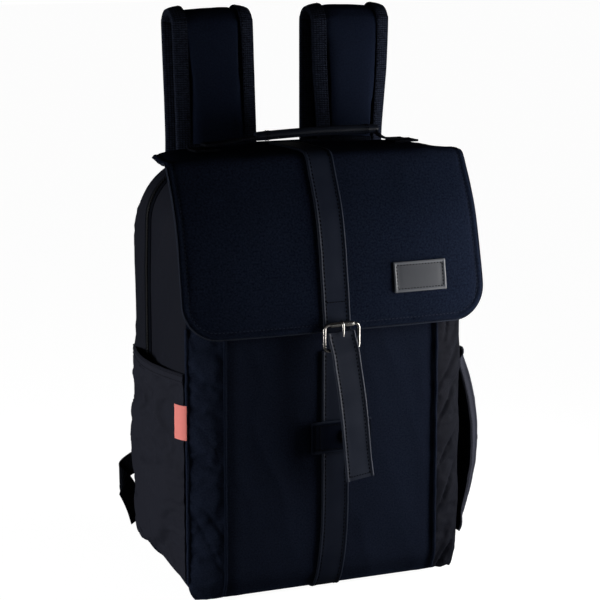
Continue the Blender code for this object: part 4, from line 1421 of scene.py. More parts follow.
@dataclass
class Flap:
    """The flap: outer cloth with a turned edge, lining, sewn strap, name patch and handle feet."""

    profile: tuple[tuple[float, float], ...] = (
        (0.0345, 0.425), (0.01, 0.4258), (-0.02, 0.426), (-0.044, 0.4256), (-0.0525, 0.4226),
        (-0.0575, 0.415), (-0.0625, 0.404), (-0.07, 0.388), (-0.08, 0.36), (-0.09, 0.31), (-0.0932, 0.286),
        (-0.0944, 0.276), (-0.0952, 0.268), (-0.0964, 0.26))
    half: float = 0.155
    rear_half: float = 0.14
    corner: float = 0.034
    crown: float = 0.006
    ridge: float = 0.0875
    rear_corner: float = 0.011
    flare: float = 0.0075
    stitch_inset: float = 0.0066

    def __post_init__(self) -> None:
        """Measure the flap's side view."""
        self.path = Line([(0.0, y, z) for y, z in self.profile])

    def half_at(self, distance: float) -> float:
        """Half the flap's width at a distance from its hinge."""
        width = lerp(self.rear_half, self.half, min(1.0, distance / self.ridge))
        drop = distance - (self.path.length - self.corner)
        if drop > 0:
            width += math.sqrt(max(0.0, self.corner ** 2 - drop ** 2)) - self.corner
        if distance < self.rear_corner:
            width += math.sqrt(max(0.0, self.rear_corner ** 2 - (self.rear_corner - distance) ** 2)) - self.rear_corner
        return width

    def edge_distance(self, x: float, distance: float) -> float:
        """How far a place is from the flap's free edge."""
        side = lerp(self.rear_half, self.half, min(1.0, distance / self.ridge)) - abs(x)
        bottom = self.path.length - distance
        if side < self.corner and bottom < self.corner:
            return self.corner - math.hypot(self.corner - side, self.corner - bottom)
        return min(side, bottom)

    def normal(self, distance: float) -> Vector:
        """The flap's outward direction at a distance from its hinge."""
        along = self.path.along(distance)
        return Vector((0.0, along.z, -along.y))

    def at(self, x: float, distance: float, out: float = 0.0) -> Vector:
        """A place on the flap's outer face, or off it by a distance."""
        spot = self.path.at(distance) + self.normal(distance) * out
        weight = min(1.0, distance / self.ridge)
        share = abs(x) / self.half
        spot.y += weight * self.crown * share ** 4
        spot.z -= 0.0105 * share ** 7 * bell(max(0.0, distance - 0.04), 0.04)
        spot.x = x + (self.flare * min(1.0, distance / self.path.length) ** 1.3 * share if x > 0 else 0.0)
        return spot

    def relief(self, x: float, distance: float) -> float:
        """The cloth's own relief: a turned edge, the furrow of the stitches, slow undulation."""
        edge = self.edge_distance(x, distance)
        turned = 0.0006 * bell(edge - 0.003, 0.0022) - 0.0007 * bell(edge, 0.0012)
        furrow = -0.0008 * bell(edge - self.stitch_inset, 0.0014)
        calm = 1.0 - bell(x, 0.045)
        slack = 0.0011 * ripple(x, distance, 2.2, 0.075) * calm
        pucker = 0.0003 * ripple(x, distance, 8.8, 0.01) * bell(edge - 0.006, 0.006)
        return turned + furrow + slack + pucker

    def cloth(self) -> None:
        """The outer cloth and the lining under it."""
        length = self.path.length
        rows = edge_stops(0.0, length, 0.003)
        columns = [c / self.half for c in edge_stops(-self.half, self.half, 0.0031)]

        def outer(share: float, distance: float) -> Vector:
            """The outer face with its relief."""
            x = share * self.half_at(distance)
            return self.at(x, distance, self.relief(x, distance))

        obj = lay("flap_cloth", columns, rows, outer,
                  lambda share, d: bell(self.edge_distance(share * self.half_at(d), d), 0.002), turned=True)
        report(thicken(obj, 0.0022), WARDROBE.flap_weave, "flap", "flap_outer")
        lining = lay("flap_lining_cloth", spread(-1, 1, 48), spread(0.001, length - 0.0015, 60),
                     lambda share, d: self.at(share * (self.half_at(d) - 0.002), d, -0.0026), turned=True)
        report(thicken(lining, 0.0011, round_edge=False), WARDROBE.lining, "flap", "flap_lining")

    def edge_seam(self) -> None:
        """The stitch row that follows the flap's free edge all round."""
        inset, length = self.stitch_inset, self.path.length
        corner = self.corner - inset
        seam: list[tuple[float, float]] = []
        for distance in spread(0.004, length - self.corner, 90):
            seam.append((-(lerp(self.rear_half, self.half, min(1.0, distance / self.ridge)) - inset), distance))
        turn = [(-(self.half - self.corner) - corner * math.cos(math.radians(a)),
                 length - self.corner + corner * math.sin(math.radians(a))) for a in spread(0, 90, 12)]
        bottom = [(x, length - inset) for x in spread(-(self.half - self.corner), self.half - self.corner, 60)]
        left = seam + turn[1:]
        whole = left + bottom[1:-1] + [(-x, d) for x, d in reversed(left)]
        places = [(self.at(x, d, self.relief(x, d) + 0.0002), self.normal(d)) for x, d in whole]
        sew("flap_edge_stitches", places, WARDROBE.blue_thread, "flap", 0.004, 0.0024, 0.00055)
        roll = []
        for distance in spread(0.006, length - self.corner, 120):
            roll.append((-self.half_at(distance), distance))
        roll += [(-(self.half - self.corner) - self.corner * math.cos(math.radians(a)),
                  length - self.corner + self.corner * math.sin(math.radians(a))) for a in spread(0, 90, 14)[1:]]
        across = [(x, length) for x in spread(-(self.half - self.corner), self.half - self.corner, 60)[1:-1]]
        line = Line([self.at(x, d, -0.001) for x, d in roll + across + [(-x, d) for x, d in reversed(roll)]], 2)
        stations = []
        for step in spread(0.0, line.length, 420):
            along = line.along(step)
            up = Vector((0, -1, 0.25)).normalized()
            stations.append(Station(line.at(step), up.cross(along).normalized(), up))
        # The rolled edge takes a lighter copy of the flap cloth: partly edge wear, partly a painted highlight.
        report(sweep("flap_edge_roll", oval(0.0008, 0.0012, 8), stations), WARDROBE.edge, "flap")

    def strap(self) -> None:
        """The coated strap sewn down the flap to its lower edge."""
        low, high = box_of("upper_strap")
        center, half = (low.x + high.x) / 2, (high.x - low.x) / 2
        section = band(half, 0.003, 0.0007)
        length = self.path.length

        def station(distance: float) -> Station:
            """One place down the strap."""
            sway = 0.0006 * ripple(0.0, distance, 6.1, 0.06)
            spot = self.at(center, min(distance, length), -0.0003)
            spot.x = center + sway
            return Station(spot, RIGHT, self.normal(distance))

        stations = [station(d) for d in spread(0.001, length - 0.0004, 150)]
        obj = sweep("closure_strap_upper", section, stations, rim_values(section, 0.0026))
        report(obj, WARDROBE.coated, "flap", "upper_strap")
        for number, sign in enumerate((-1.0, 1.0)):
            seam = [(s.center + s.side * sign * (half - 0.0042) + s.up * 0.0024, s.up) for s in stations]
            sew(f"upper_strap_stitches_{number + 1}", seam, WARDROBE.thread, "flap", 0.0038, 0.0026, 0.00058)
        here = station(length - 0.0275)
        seam = [(here.center + here.side * x + here.up * 0.0026, here.up)
                for x in spread(-half + 0.004, half - 0.004, 8)]
        sew("upper_strap_cross_stitches_1", seam, WARDROBE.thread, "flap", 0.003, 0.0023, 0.00045)

    def patch(self) -> None:
        """The name patch: a plain moulded plate with a raised rim."""
        low, high = box_of("name_patch")
        half_x, half_z = (high.x - low.x) / 2, (high.z - low.z) / 2
        middle = (low + high) / 2

        def inset_of(x: float, z: float) -> float:
            """Distance from the patch's edge."""
            return min(half_x - abs(x - middle.x), half_z - abs(z - middle.z))

        def place(x: float, z: float) -> Vector:
            """The plate's face, which follows the flap behind it."""
            inset = inset_of(x, z)
            rim = 0.0005 * bell(inset - 0.0014, 0.001) - 0.0004 * bell(inset - 0.0034, 0.0008)
            return Vector((x, self.surface_y(x, z) - 0.0018 - rim, z))

        obj = lay("name_plate", edge_stops(low.x, high.x, 0.003, (0.0, 0.0006, 0.0012, 0.0018, 0.0026, 0.004)),
                  edge_stops(low.z, high.z, 0.003, (0.0, 0.0006, 0.0012, 0.0018, 0.0026, 0.004)), place,
                  lambda x, z: bell(inset_of(x, z) - 0.0014, 0.0014))
        report(thicken(obj, 0.0016), WARDROBE.patch, "flap", "name_patch")
        inset = 0.0034
        sew_box("name_plate", (low.x + inset, high.x - inset, low.z + inset, high.z - inset),
                lambda x, z: Vector((x, self.surface_y(x, z) - 0.0016, z)), FORWARD, 8, (0.0034, 0.0024, 0.0005))

    def surface_y(self, x: float, z: float) -> float:
        """The y of the flap's outer face at a height on its hanging part."""
        near = min((abs(self.path.at(d).z - z), d) for d in spread(self.ridge, self.path.length, 160))[1]
        return self.at(x, near).y

    def build(self) -> None:
        """Make the flap."""
        self.cloth()
        self.edge_seam()
        self.strap()
        self.patch()
        for side in ("left", "right"):
            self.foot(side)

    def foot(self, side: str) -> None:
        """A handle's foot: a coated tab stitched in a box."""
        low, high = box_of(f"handle_foot_{side}")
        section = band((high.y - low.y) / 2, high.z - low.z + 0.0006, 0.0003)
        middle = (low + high) / 2
        stations = [Station(Vector((x, middle.y, low.z - 0.0004)), REARWARD, UPWARD)
                    for x in spread(low.x, high.x, 20)]
        report(sweep(f"handle_tab_{side}", section, stations), WARDROBE.webbing, "flap",
               f"handle_foot_{side}")
        sew_box(f"handle_tab_{side}", (low.x + 0.004, high.x - 0.004, low.y + 0.004, high.y - 0.004),
                lambda x, y: Vector((x, y, high.z + 0.0002)), UPWARD, 6, (0.0032, 0.0023, 0.0004))


@dataclass
class Handle:
    """The carry handle: a rolled grip with bound ends between two flat webbing ends."""

    grip: float = 0.0045
    sag: tuple[float, float] = (0.0085, 0.0062)

    def height(self, x: float) -> float:
        """Height of the grip's middle: it sags, more at its left end than at its right."""
        low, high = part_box("handle_grip")
        share = (x - low[0]) / (high[0] - low[0])
        arch = 0.0012 * math.sin(math.pi * min(1.0, max(0.0, share)))
        return (low[2] + high[2]) / 2 - lerp(*self.sag, share) + arch

    def build(self) -> None:
        """Make the handle."""
        low, high = box_of("handle_grip")
        middle = (low + high) / 2
        up, back = UPWARD, REARWARD
        stations = []
        for x in spread(low.x, high.x, 90):
            away = min(x - low.x, high.x - x)
            swell = 1.0 + 0.06 * bell(away - 0.012, 0.003) - 0.1 * bell(away, 0.002)
            stations.append(Station(Vector((x, middle.y, self.height(x))), back, up, swell))
        obj = sweep("grip_roll", oval(self.grip, self.grip, 24), stations)
        report(obj, WARDROBE.grip, "handle", "handle_grip")
        for end, x in (("left", low.x + 0.0125), ("right", high.x - 0.0125)):
            for number, shift in enumerate((-0.0012, 0.0012)):
                ring = [(Vector((x + shift, middle.y + (self.grip + 0.0004) * math.cos(a),
                                  self.height(x) + (self.grip + 0.0004) * math.sin(a))),
                         Vector((0, math.cos(a), math.sin(a)))) for a in spread(0, 2 * math.pi, 24)]
                sew(f"grip_{end}_stitches_{number + 1}", ring, WARDROBE.thread, "handle", 0.003, 0.0023, 0.00045)
        seam = [(Vector((x, middle.y - self.grip * 0.93, self.height(x) - self.grip * 0.4)), Vector((0, -0.9, -0.4)))
                for x in spread(low.x + 0.016, high.x - 0.016, 40)]
        sew("grip_seam_stitches", seam, WARDROBE.thread, "handle", 0.0036, 0.0026, 0.0004)
        for side in ("left", "right"):
            self.webbing(side)

    def webbing(self, side: str) -> None:
        """A webbing end that rises from its foot into the grip."""
        low, high = box_of(f"handle_webbing_{side}")
        foot, grip = (low.x, high.x + 0.004) if side == "left" else (high.x, low.x - 0.004)
        y = (low.y + high.y) / 2
        base, top = low.z + (0.0012 if side == "left" else -0.0022), self.height(grip)
        reach, slack = (1.0, 1.25) if side == "left" else (0.7, 3.2)
        line = Line([(lerp(foot, grip, share ** reach), y, base + (top - base) * share ** slack)
                     for share in spread(0.0, 1.0, 10)])
        stations = []
        for distance in spread(0.0, line.length, 44):
            ahead = line.along(distance)
            up = Vector((-ahead.z, 0, ahead.x)) * (1.0 if side == "left" else -1.0)
            stations.append(Station(line.at(distance), REARWARD, up,
                                    lerp(1.0, 0.6, (distance / line.length) ** 2)))
        section = [(a, b - 0.0011) for a, b in band(0.0078, 0.0024, 0.0002)]
        obj = sweep(f"handle_strap_{side}", section, stations)
        WARDROBE.webbing.dress(obj)
        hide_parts(f"handle_webbing_{side}")
        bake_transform(obj)
        LOG.info("%s: %d faces, bends between flap and handle", obj.name, len(obj.data.polygons))


@dataclass
class Buckle:
    """The roller buckle: a bent wire frame, its roller and the prong that hooks over the tongue."""

    wire: float = 0.0017

    def ring(self, low: Vector, high: Vector, radius: float, steps: int = 8) -> list[Vector]:
        """Places round an upright frame with rounded corners, along the middle of its wire."""
        middle = (low + high) / 2
        y = middle.y
        places = []
        for corner, (x, z) in enumerate(((high.x, high.z), (low.x, high.z), (low.x, low.z), (high.x, low.z))):
            inward = Vector((math.copysign(radius, middle.x - x), 0, math.copysign(radius, middle.z - z)))
            for angle in spread(0, 90, steps):
                turn = math.radians(angle + corner * 90)
                places.append(Vector((x, y, z)) + inward + Vector((math.cos(turn), 0, math.sin(turn))) * radius)
        return places

    def wire_ring(self, name: str, node: str, wire: float, flat: float, radius: float, finish: Finish,
                  body: str) -> None:
        """Bend a closed wire frame in the place of a CAD node."""
        low, high = box_of(node)
        inner = Vector((wire, 0, wire))
        places = self.ring(low + inner, high - inner, radius)
        stations = []
        for index, spot in enumerate(places):
            ahead = (places[(index + 1) % len(places)] - places[index - 1]).normalized()
            stations.append(Station(spot, REARWARD, ahead.cross(REARWARD).normalized()))
        obj = sweep(name, oval(wire * flat, wire, 14), stations, ring=True)
        report(obj, finish, body, node)

    def build(self) -> None:
        """Make the buckle."""
        self.wire_ring("buckle_wire", "buckle_frame", self.wire, 0.95, 0.0042, WARDROBE.nickel, "buckle")
        low, high = box_of("buckle_roller")
        middle, radius = (low + high) / 2, (high.z - low.z) / 2
        bpy.ops.object.select_all(action="DESELECT")
        bpy.ops.mesh.primitive_cylinder_add(vertices=36, radius=radius, depth=high.x - low.x, location=middle,
                                            rotation=(0, math.radians(90), 0))
        obj = started("roller_tube")
        place_in_mesh(obj)
        press(obj, lambda face: abs(face.normal.x) > 0.9, (0.0007, -0.002))
        apply(obj, "BEVEL", width=0.00025, segments=2, limit_method="ANGLE", angle_limit=math.radians(40))
        report(smooth(obj, 40.0), WARDROBE.nickel, "buckle", "buckle_roller")
        low, high = box_of("buckle_prong")
        x = (low.x + high.x) / 2
        hook = Line([(x, middle.y + 0.0012, middle.z + radius + 0.0006),
                     (x, middle.y - 0.0022, middle.z + radius - 0.0002),
                     (x, middle.y - 0.004, middle.z - 0.0008), (x, middle.y - 0.0044, high.z - 0.0036),
                     (x, middle.y - 0.004, low.z - 0.0006)])
        stations = []
        for distance in spread(0, hook.length, 30):
            ahead = hook.along(distance)
            tip = lerp(1.0, 0.62, (distance / hook.length) ** 3)
            stations.append(Station(hook.at(distance), RIGHT, RIGHT.cross(ahead), tip))
        report(sweep("prong_wire", oval(0.0012, 0.0011, 12), stations), WARDROBE.nickel, "prong", "buckle_prong")


@dataclass
class Closure:
    """The hanging tongue, the snap patch and the strap that runs under the bag."""

    tongue_turn: float = math.radians(7.5)
    tongue_half: float = 0.0145
    thickness: float = 0.0024
    stitch_inset: float = 0.0042

    def strap(self, name: str, stations: list[Station], half: float, body: str, node: str, finish: Finish) -> None:
        """A coated strap along stations, with a stitch row inside each edge.

        Args:
            name: The strap's name.
            stations: Its under side's places.
            half: Half its width.
            body: The body that it rides on.
            node: The CAD node that it replaces.
            finish: Its finish.
        """
        section = band(half, self.thickness, 0.0006)
        report(sweep(name, section, stations, rim_values(section, 0.0026)), finish, body, node)
        for number, sign in enumerate((-1.0, 1.0)):
            seam = [(s.center + s.side * sign * (half * s.scale - self.stitch_inset)
                     + s.up * (self.thickness - 0.0005), s.up) for s in stations[2:-2]]
            sew(f"{name}_stitches_{number + 1}", seam, WARDROBE.thread, body, 0.0038, 0.0026, 0.00058)

    def build(self) -> None:
        """Make the closure."""
        self.tongue()
        self.lower()
        self.patch()
        self.snaps()

    def tongue(self) -> None:
        """The loose strap end: it bows out a little and its end curls off the patch."""
        low, high = box_of("strap_tongue")
        length, lead = 0.14, 0.0065
        down = Vector((math.sin(self.tongue_turn), 0, -math.cos(self.tongue_turn)))
        middle = (low + high) / 2
        start = Vector((middle.x, high.y, middle.z)) - down * length / 2
        stations = []
        for distance in spread(-lead, length, 110):
            share = max(0.0, distance) / length
            bow = (-0.0046 * math.sin(math.pi * share ** 0.8) + 0.0004 * math.sin(3 * math.pi * share)
                   - 0.001 * share ** 6)
            over = min(1.0, (distance + lead) / 0.024)
            ease = over * over * (3 - 2 * over)
            off = bow + 0.0026 * (1 - ease) - 0.0008 * bell(distance - 0.014, 0.008)
            spot = start + down * distance + Vector((0, off, 0))
            turn = self.tongue_turn * lerp(0.3, 1.0, ease)
            end = 1.0 + 0.03 * bell(length - distance, 0.012)
            stations.append(Station(spot, Vector((math.cos(turn), 0, math.sin(turn))), FORWARD, end))
        # The tongue's finish is a lighter copy of the coated strap: painted light.
        self.strap("closure_tongue", stations, self.tongue_half, "tongue", "strap_tongue", WARDROBE.worn_and_lit)
        here = stations[round((length + lead - 0.0045) / (length + lead) * 110)]
        seam = [(here.center + here.side * x + here.up * (self.thickness - 0.0004), here.up)
                for x in spread(-0.01, 0.01, 6)]
        sew("closure_tongue_cross_stitches_1", seam, WARDROBE.thread, "tongue", 0.003, 0.0023, 0.00042)

    def lower(self) -> None:
        """The strap on the front panel, which rolls under the bag at its foot."""
        low, high = box_of("lower_strap")
        x = (low.x + high.x) / 2
        drop = [(x - 0.006 * bell(z, 0.045), high.y + 0.005 * bell(z - FORM.foot, 0.014), z)
                for z in spread(high.z, 0.016, 14)]
        end = x - 0.006
        line = Line(drop + [(end, high.y + 0.0055, 0.008), (end, high.y + 0.01, 0.0032), (end, high.y + 0.02, 0.0018)])
        stations = []
        for distance in spread(0.0, line.length, 150):
            up = line.along(distance).cross(RIGHT) * -1.0
            stations.append(Station(line.at(distance), RIGHT, up if up.y + 0.5 * up.z < 0 else -up))
        # The lower strap's finish is a darker copy of the coated strap: painted shade.
        self.strap("closure_strap_lower", stations, (high.x - low.x) / 2, "bag", "lower_strap", WARDROBE.shaded)

    def patch(self) -> None:
        """The snap patch: a coated band across the strap, its ends folded under and sewn."""
        low, high = box_of("snap_patch")
        middle = (low + high) / 2
        stations = []
        for x in spread(low.x, high.x, 60):
            away = min(x - low.x, high.x - x)
            end = 0.0006 * bell(away - 0.004, 0.005)
            stations.append(Station(Vector((x, high.y + 0.0003 - end, middle.z)), UPWARD,
                                    FORWARD, 1.0 - 0.03 * bell(away, 0.0015)))
        section = band((high.z - low.z) / 2, high.y - low.y + 0.0002, 0.0006)
        # The snap band's finish is a much darker copy of the coated strap: painted shadow.
        report(sweep("snap_band", section, stations, rim_values(section, 0.003)), WARDROBE.band, "bag", "snap_patch")
        half = (high.z - low.z) / 2 - 0.004
        loops = [[(x, z * half) for x in spread(low.x + 0.003, high.x - 0.003, 20)] for z in (-1.0, 1.0)]
        loops += [[(x, z) for z in spread(-half, half, 10)]
                  for x in (low.x + 0.0035, low.x + 0.0085, high.x - 0.0085, high.x - 0.0035)]
        for number, loop in enumerate(loops):
            seam = [(Vector((x, low.y - 0.0001, middle.z + z)), FORWARD) for x, z in loop]
            sew(f"snap_band_stitches_{number + 1}", seam, WARDROBE.thread, "bag", 0.0032, 0.0024, 0.0004)

    def snaps(self) -> None:
        """The press stud's two halves, turned like a real snap."""
        for name, node, body, forward in (("snap_socket_ring", "snap_socket", "bag", -1.0),
                                          ("snap_stud_cap", "snap_stud", "tongue", 1.0)):
            low, high = box_of(node)
            middle = (low + high) / 2
            radius, depth = (high.x - low.x) / 2, high.y - low.y
            bpy.ops.object.select_all(action="DESELECT")
            bpy.ops.mesh.primitive_cylinder_add(vertices=40, radius=radius, depth=depth, location=middle,
                                                rotation=(math.radians(90), 0, 0))
            obj = started(name)
            place_in_mesh(obj)
            press(obj, lambda face, way=forward: face.normal.y * way > 0.9,
                  (radius * 0.3, -depth * 0.3), (radius * 0.22, depth * 0.22))
            apply(obj, "BEVEL", width=0.0003, segments=2, limit_method="ANGLE", angle_limit=math.radians(40))
            report(smooth(obj, 40.0), WARDROBE.nickel, body, node)


@dataclass
class ShoulderStraps:
    """The two padded straps: foam body, cloth face and a ribbed binding round each edge."""

    half: float = 0.034
    thickness: float = 0.012
    top: float = 0.562
    front_y: float = 0.056
    rear_y: float = 0.085
    foot: float = 0.105
    centers: tuple[float, float] = (-0.064, 0.083)
    lean: tuple[float, float] = (-0.03, 0.0)
    slim: tuple[float, float] = (1.0, 0.84)

    def stations(self, sign: float) -> list[Station]:
        """Places along the strap's middle: up the front, over the top and down the back."""
        x0 = self.centers[0 if sign < 0 else 1]
        radius = (self.rear_y - self.front_y) / 2
        bend = self.top - self.thickness / 2 - radius
        slim = self.slim[sign > 0]
        marks: list[tuple[float, float, float, float]] = [
            (x0, self.front_y, z, lerp(slim, 1.0, share))
            for z, share in ((0.396, 0.0), (0.43, 0.0), (0.47, 0.45), (0.5, 0.8))]
        marks += [(x0, self.front_y + radius - radius * math.cos(math.radians(a)),
                   bend + radius * math.sin(math.radians(a)), 1.0) for a in spread(0, 180, 8)]
        marks += [(lerp(x0, sign * self.foot, shift), self.rear_y, z, share) for z, shift, share in
                  ((0.5, 0.0, 1.0), (0.46, 0.0, 1.0), (0.42, 0.01, 1.0), (0.38, 0.06, 1.0), (0.345, 0.16, 1.0),
                   (0.31, 0.3, 1.0), (0.26, 0.58, 0.96), (0.22, 0.8, 0.84), (0.195, 0.93, 0.68), (0.174, 1.0, 0.5))]
        tilt = self.lean[0 if sign < 0 else 1]
        line = Line([(x + tilt * (max(z, 0.43) - 0.47), y, z) for x, y, z, _ in marks], 8)
        widths = Line([(index, share, 0.0) for index, (*_, share) in enumerate(marks)], 8)
        steps = []
        total = len(line.points) - 1
        for index in range(total + 1):
            spot = line.points[index]
            ahead = line.along(line.marks[index])
            up = Vector((0, -ahead.z, ahead.y)).normalized()
            steps.append(Station(spot, RIGHT, up, widths.points[index].y))
        return steps

    def body(self, side: str, steps: list[Station]) -> None:
        """The padded body: a slim core, remeshed and swollen, then creased across the bend."""
        half, t = self.half, self.thickness
        core = [(half - 0.002, 0.0), (half - 0.004, t * 0.32), (half * 0.5, t * 0.4), (0, t * 0.42),
                (-half * 0.5, t * 0.4),
                (-half + 0.004, t * 0.32), (-half + 0.002, 0.0), (-half + 0.004, -t * 0.32), (-half * 0.5, -t * 0.4),
                (0, -t * 0.42), (half * 0.5, -t * 0.4), (half - 0.004, -t * 0.32)]
        narrowed = [Station(s.center, s.side * s.scale, s.up) for s in steps]
        obj = sweep(f"shoulder_pad_{side}", core, narrowed[::2])
        apply(obj, "REMESH", mode="VOXEL", voxel_size=0.0048)
        settle(obj, None, 3.0, 0.0, 0.004)
        apply(obj, "SUBSURF", levels=1, render_levels=1)
        low = min(s.center.z for s in steps)
        for vertex in obj.data.vertices:
            spot = vertex.co
            crease = ripple(spot.x * 0.35, spot.z, 5.5, 0.02) * bell(spot.z - self.top, 0.075)
            vertex.co = spot + vertex.normal * (0.0009 * crease)
            vertex.co.z = max(vertex.co.z, low)
        cloth_map(obj)
        report(smooth(obj, 80.0), WARDROBE.strap_pad, "bag", f"shoulder_strap_{side}")

    def bindings(self, side: str, steps: list[Station]) -> None:
        """The ribbed tape round each edge, wider than it is thick, with its stitch row."""
        for number, sign in ((1, -1.0), (2, 1.0)):
            section = [(sign * a, b) for a, b in
                       ((self.half + 0.0085, 0.0), (self.half + 0.008, 0.0026), (self.half + 0.005, 0.0038),
                        (self.half + 0.001, 0.0048), (self.half - 0.003, 0.0054), (self.half - 0.0055, 0.0055),
                        (self.half - 0.0058, 0.004), (self.half - 0.0058, -0.004), (self.half - 0.0055, -0.0055),
                        (self.half - 0.003, -0.0054), (self.half + 0.001, -0.0048), (self.half + 0.005, -0.0038),
                        (self.half + 0.008, -0.0026))]
            walk = [Station(s.center, s.side * s.scale, s.up * (1.0 + 0.05 * ripple(i * 0.004, 0, sign, 0.016)))
                    for i, s in enumerate(steps)]
            obj = sweep(f"strap_edge_{side}_{number}", section, walk, rim_values(section, 0.003))
            report(obj, WARDROBE.binding, "bag", f"strap_binding_{side}_{number}")
            for face, way in (("outer", 1.0), ("inner", -1.0)):
                seam = [(s.center + s.side * s.scale * sign * (self.half - 0.004) + s.up * way * 0.0055, s.up * way)
                        for s in steps]
                sew(f"strap_edge_{side}_{number}_{face}_stitches", seam, WARDROBE.thread, "bag", 0.004, 0.0028, 0.0004)

    def build(self) -> None:
        """Make both straps."""
        for side, sign in SIDES:
            steps = self.stations(sign)
            self.body(side, steps)
            self.bindings(side, steps)


@dataclass
class LowerWebbing:
    """Adjusters, the webbing to the lower corners, its free tails and the corner tabs."""

    loop: tuple[tuple[float, float, float], ...] = (
        (0.106, 0.086, 0.132), (0.116, 0.087, 0.119), (0.13, 0.0885, 0.107), (0.146, 0.0895, 0.099),
        (0.156, 0.0885, 0.093), (0.1588, 0.086, 0.088), (0.156, 0.083, 0.082), (0.15, 0.081, 0.07),
        (0.145, 0.0795, 0.057), (0.1415, 0.0785, 0.044))

    def ribbon(self, name: str, line: Line, half: float, thickness: float, across: Callable[[float], Vector],
               body: str, node: str) -> None:
        """A flat webbing ribbon along a line.

        Args:
            name: The ribbon's name.
            line: Its middle.
            half: Half its width.
            thickness: Its thickness.
            across: Its sideways direction at a share of its length.
            body: The body that it rides on.
            node: The CAD node that it replaces.
        """
        section = [(a, b - thickness / 2) for a, b in band(half, thickness, 0.0002, 0.002)]
        stations = []
        for distance in spread(0.0, line.length, max(20, round(line.length / 0.0016))):
            side = across(distance / line.length)
            stations.append(Station(line.at(distance), side, line.along(distance).cross(side).normalized()))
        report(sweep(name, section, stations), WARDROBE.webbing, body, node)

    def build(self) -> None:
        """Make both sides."""
        for side, sign in SIDES:
            adjuster = f"strap_adjuster_{side}"
            Buckle().wire_ring(f"ladder_lock_{side}", adjuster, 0.0022, 0.85, 0.0035, WARDROBE.plastic,
                               f"adjuster_{side}")
            line = Line([(sign * x, y, z) for x, y, z in self.loop])

            def across(share: float, sign: float = sign) -> Vector:
                """The ribbon's broad way: it lies flat at first, stands up in the loop and lies over at its end."""
                rise = min(1.0, max(0.0, (share - 0.1) / 0.25))
                fall = min(1.0, max(0.0, (share - 0.56) / 0.2))
                first = REARWARD.lerp(Vector((0, 0.15, 1)), rise)
                return first.lerp(Vector((-sign * 0.85, 0.35, 0.35)), fall * fall * (3 - 2 * fall)).normalized()
            self.ribbon(f"webbing_{side}", line, 0.0115, 0.0016, across, "bag", f"lower_webbing_{side}")
            low, high = box_of(f"webbing_tail_{side}")
            x, y = (low.x + high.x) / 2, (low.y + high.y) / 2
            tail = Line([(x, y, high.z), (x, y, lerp(high.z, low.z, 0.5)), (x, y, low.z)])
            self.ribbon(f"tail_{side}", tail, (high.x - low.x) / 2, 0.0017, lambda share: RIGHT,
                        f"tail_{side}", f"webbing_tail_{side}")
            self.tab(side, sign)

    def tab(self, side: str, sign: float) -> None:
        """The cloth tab that holds the webbing in the lower corner seam."""
        low, high = box_of(f"webbing_anchor_{side}")
        stations = [Station(Vector(((low.x + high.x) / 2, low.y - 0.0004, z)), RIGHT, REARWARD)
                    for z in spread(low.z, high.z, 24)]
        section = band((high.x - low.x) / 2, high.y - low.y + 0.0004, 0.0003)
        report(sweep(f"corner_tab_{side}", section, stations, rim_values(section, 0.003)), WARDROBE.side, "bag",
               f"webbing_anchor_{side}")
        for number, share in enumerate((0.15, 0.85)):
            seam = [(Vector((x, high.y + 0.0001, lerp(low.z, high.z, share))), REARWARD)
                    for x in spread(low.x + 0.003, high.x - 0.003, 8)]
            sew(f"corner_tab_{side}_stitches_{number + 1}", seam, WARDROBE.thread, "bag", 0.0032, 0.0024, 0.0004)


@dataclass
class Sliders:
    """The zip's two sliders and their pull tabs."""

    def block(self, name: str, node: str, body: str, finish: Finish, waist: float, hole: float) -> None:
        """A cast block or tab with rounded corners, a waist and, if wanted, a punched hole.

        Args:
            name: The piece's name.
            node: The CAD node that it replaces.
            body: The body that it rides on.
            finish: Its finish.
            waist: Width left at its middle, as a share.
            hole: Size of the hole at its end, as a share of its width, or 0.
        """
        low, high = box_of(node)
        middle, size = (low + high) / 2, high - low
        bpy.ops.object.select_all(action="DESELECT")
        bpy.ops.mesh.primitive_cube_add(size=1.0, location=middle, scale=size)
        obj = started(name)
        place_in_mesh(obj)
        select_only(obj)
        bpy.ops.object.mode_set(mode="EDIT")
        bpy.ops.mesh.subdivide(number_cuts=5)
        bpy.ops.object.mode_set(mode="OBJECT")

        def punched(face: bmesh.types.BMFace) -> bool:
            """Whether a face lies in the hole."""
            away = face.calc_center_median() - middle + Vector((0, size.y * 0.33, 0))
            return abs(face.normal.z) > 0.9 and abs(away.x) < size.x * hole / 2 and abs(away.y) < size.y * 0.1

        if hole:
            press(obj, punched, (0.0003, -size.z * 0.3))
        for vertex in obj.data.vertices:
            share = (vertex.co.y - middle.y) / size.y
            vertex.co.x = middle.x + (vertex.co.x - middle.x) * lerp(waist, 1.0, min(1.0, (2 * abs(share)) ** 2))
        apply(obj, "BEVEL", width=min(size) * 0.22, segments=2, limit_method="ANGLE", angle_limit=math.radians(45))
        report(smooth(obj, 40.0), finish, body, node)

    def build(self) -> None:
        """Make both sliders."""
        for side in ("left", "right"):
            self.block(f"slider_body_{side}", f"zip_slider_{side}", f"slider_{side}", WARDROBE.nickel, 0.72, 0.0)
            self.block(f"pull_tab_{side}", f"zip_pull_{side}", f"pull_{side}", WARDROBE.nickel, 0.8, 0.6)


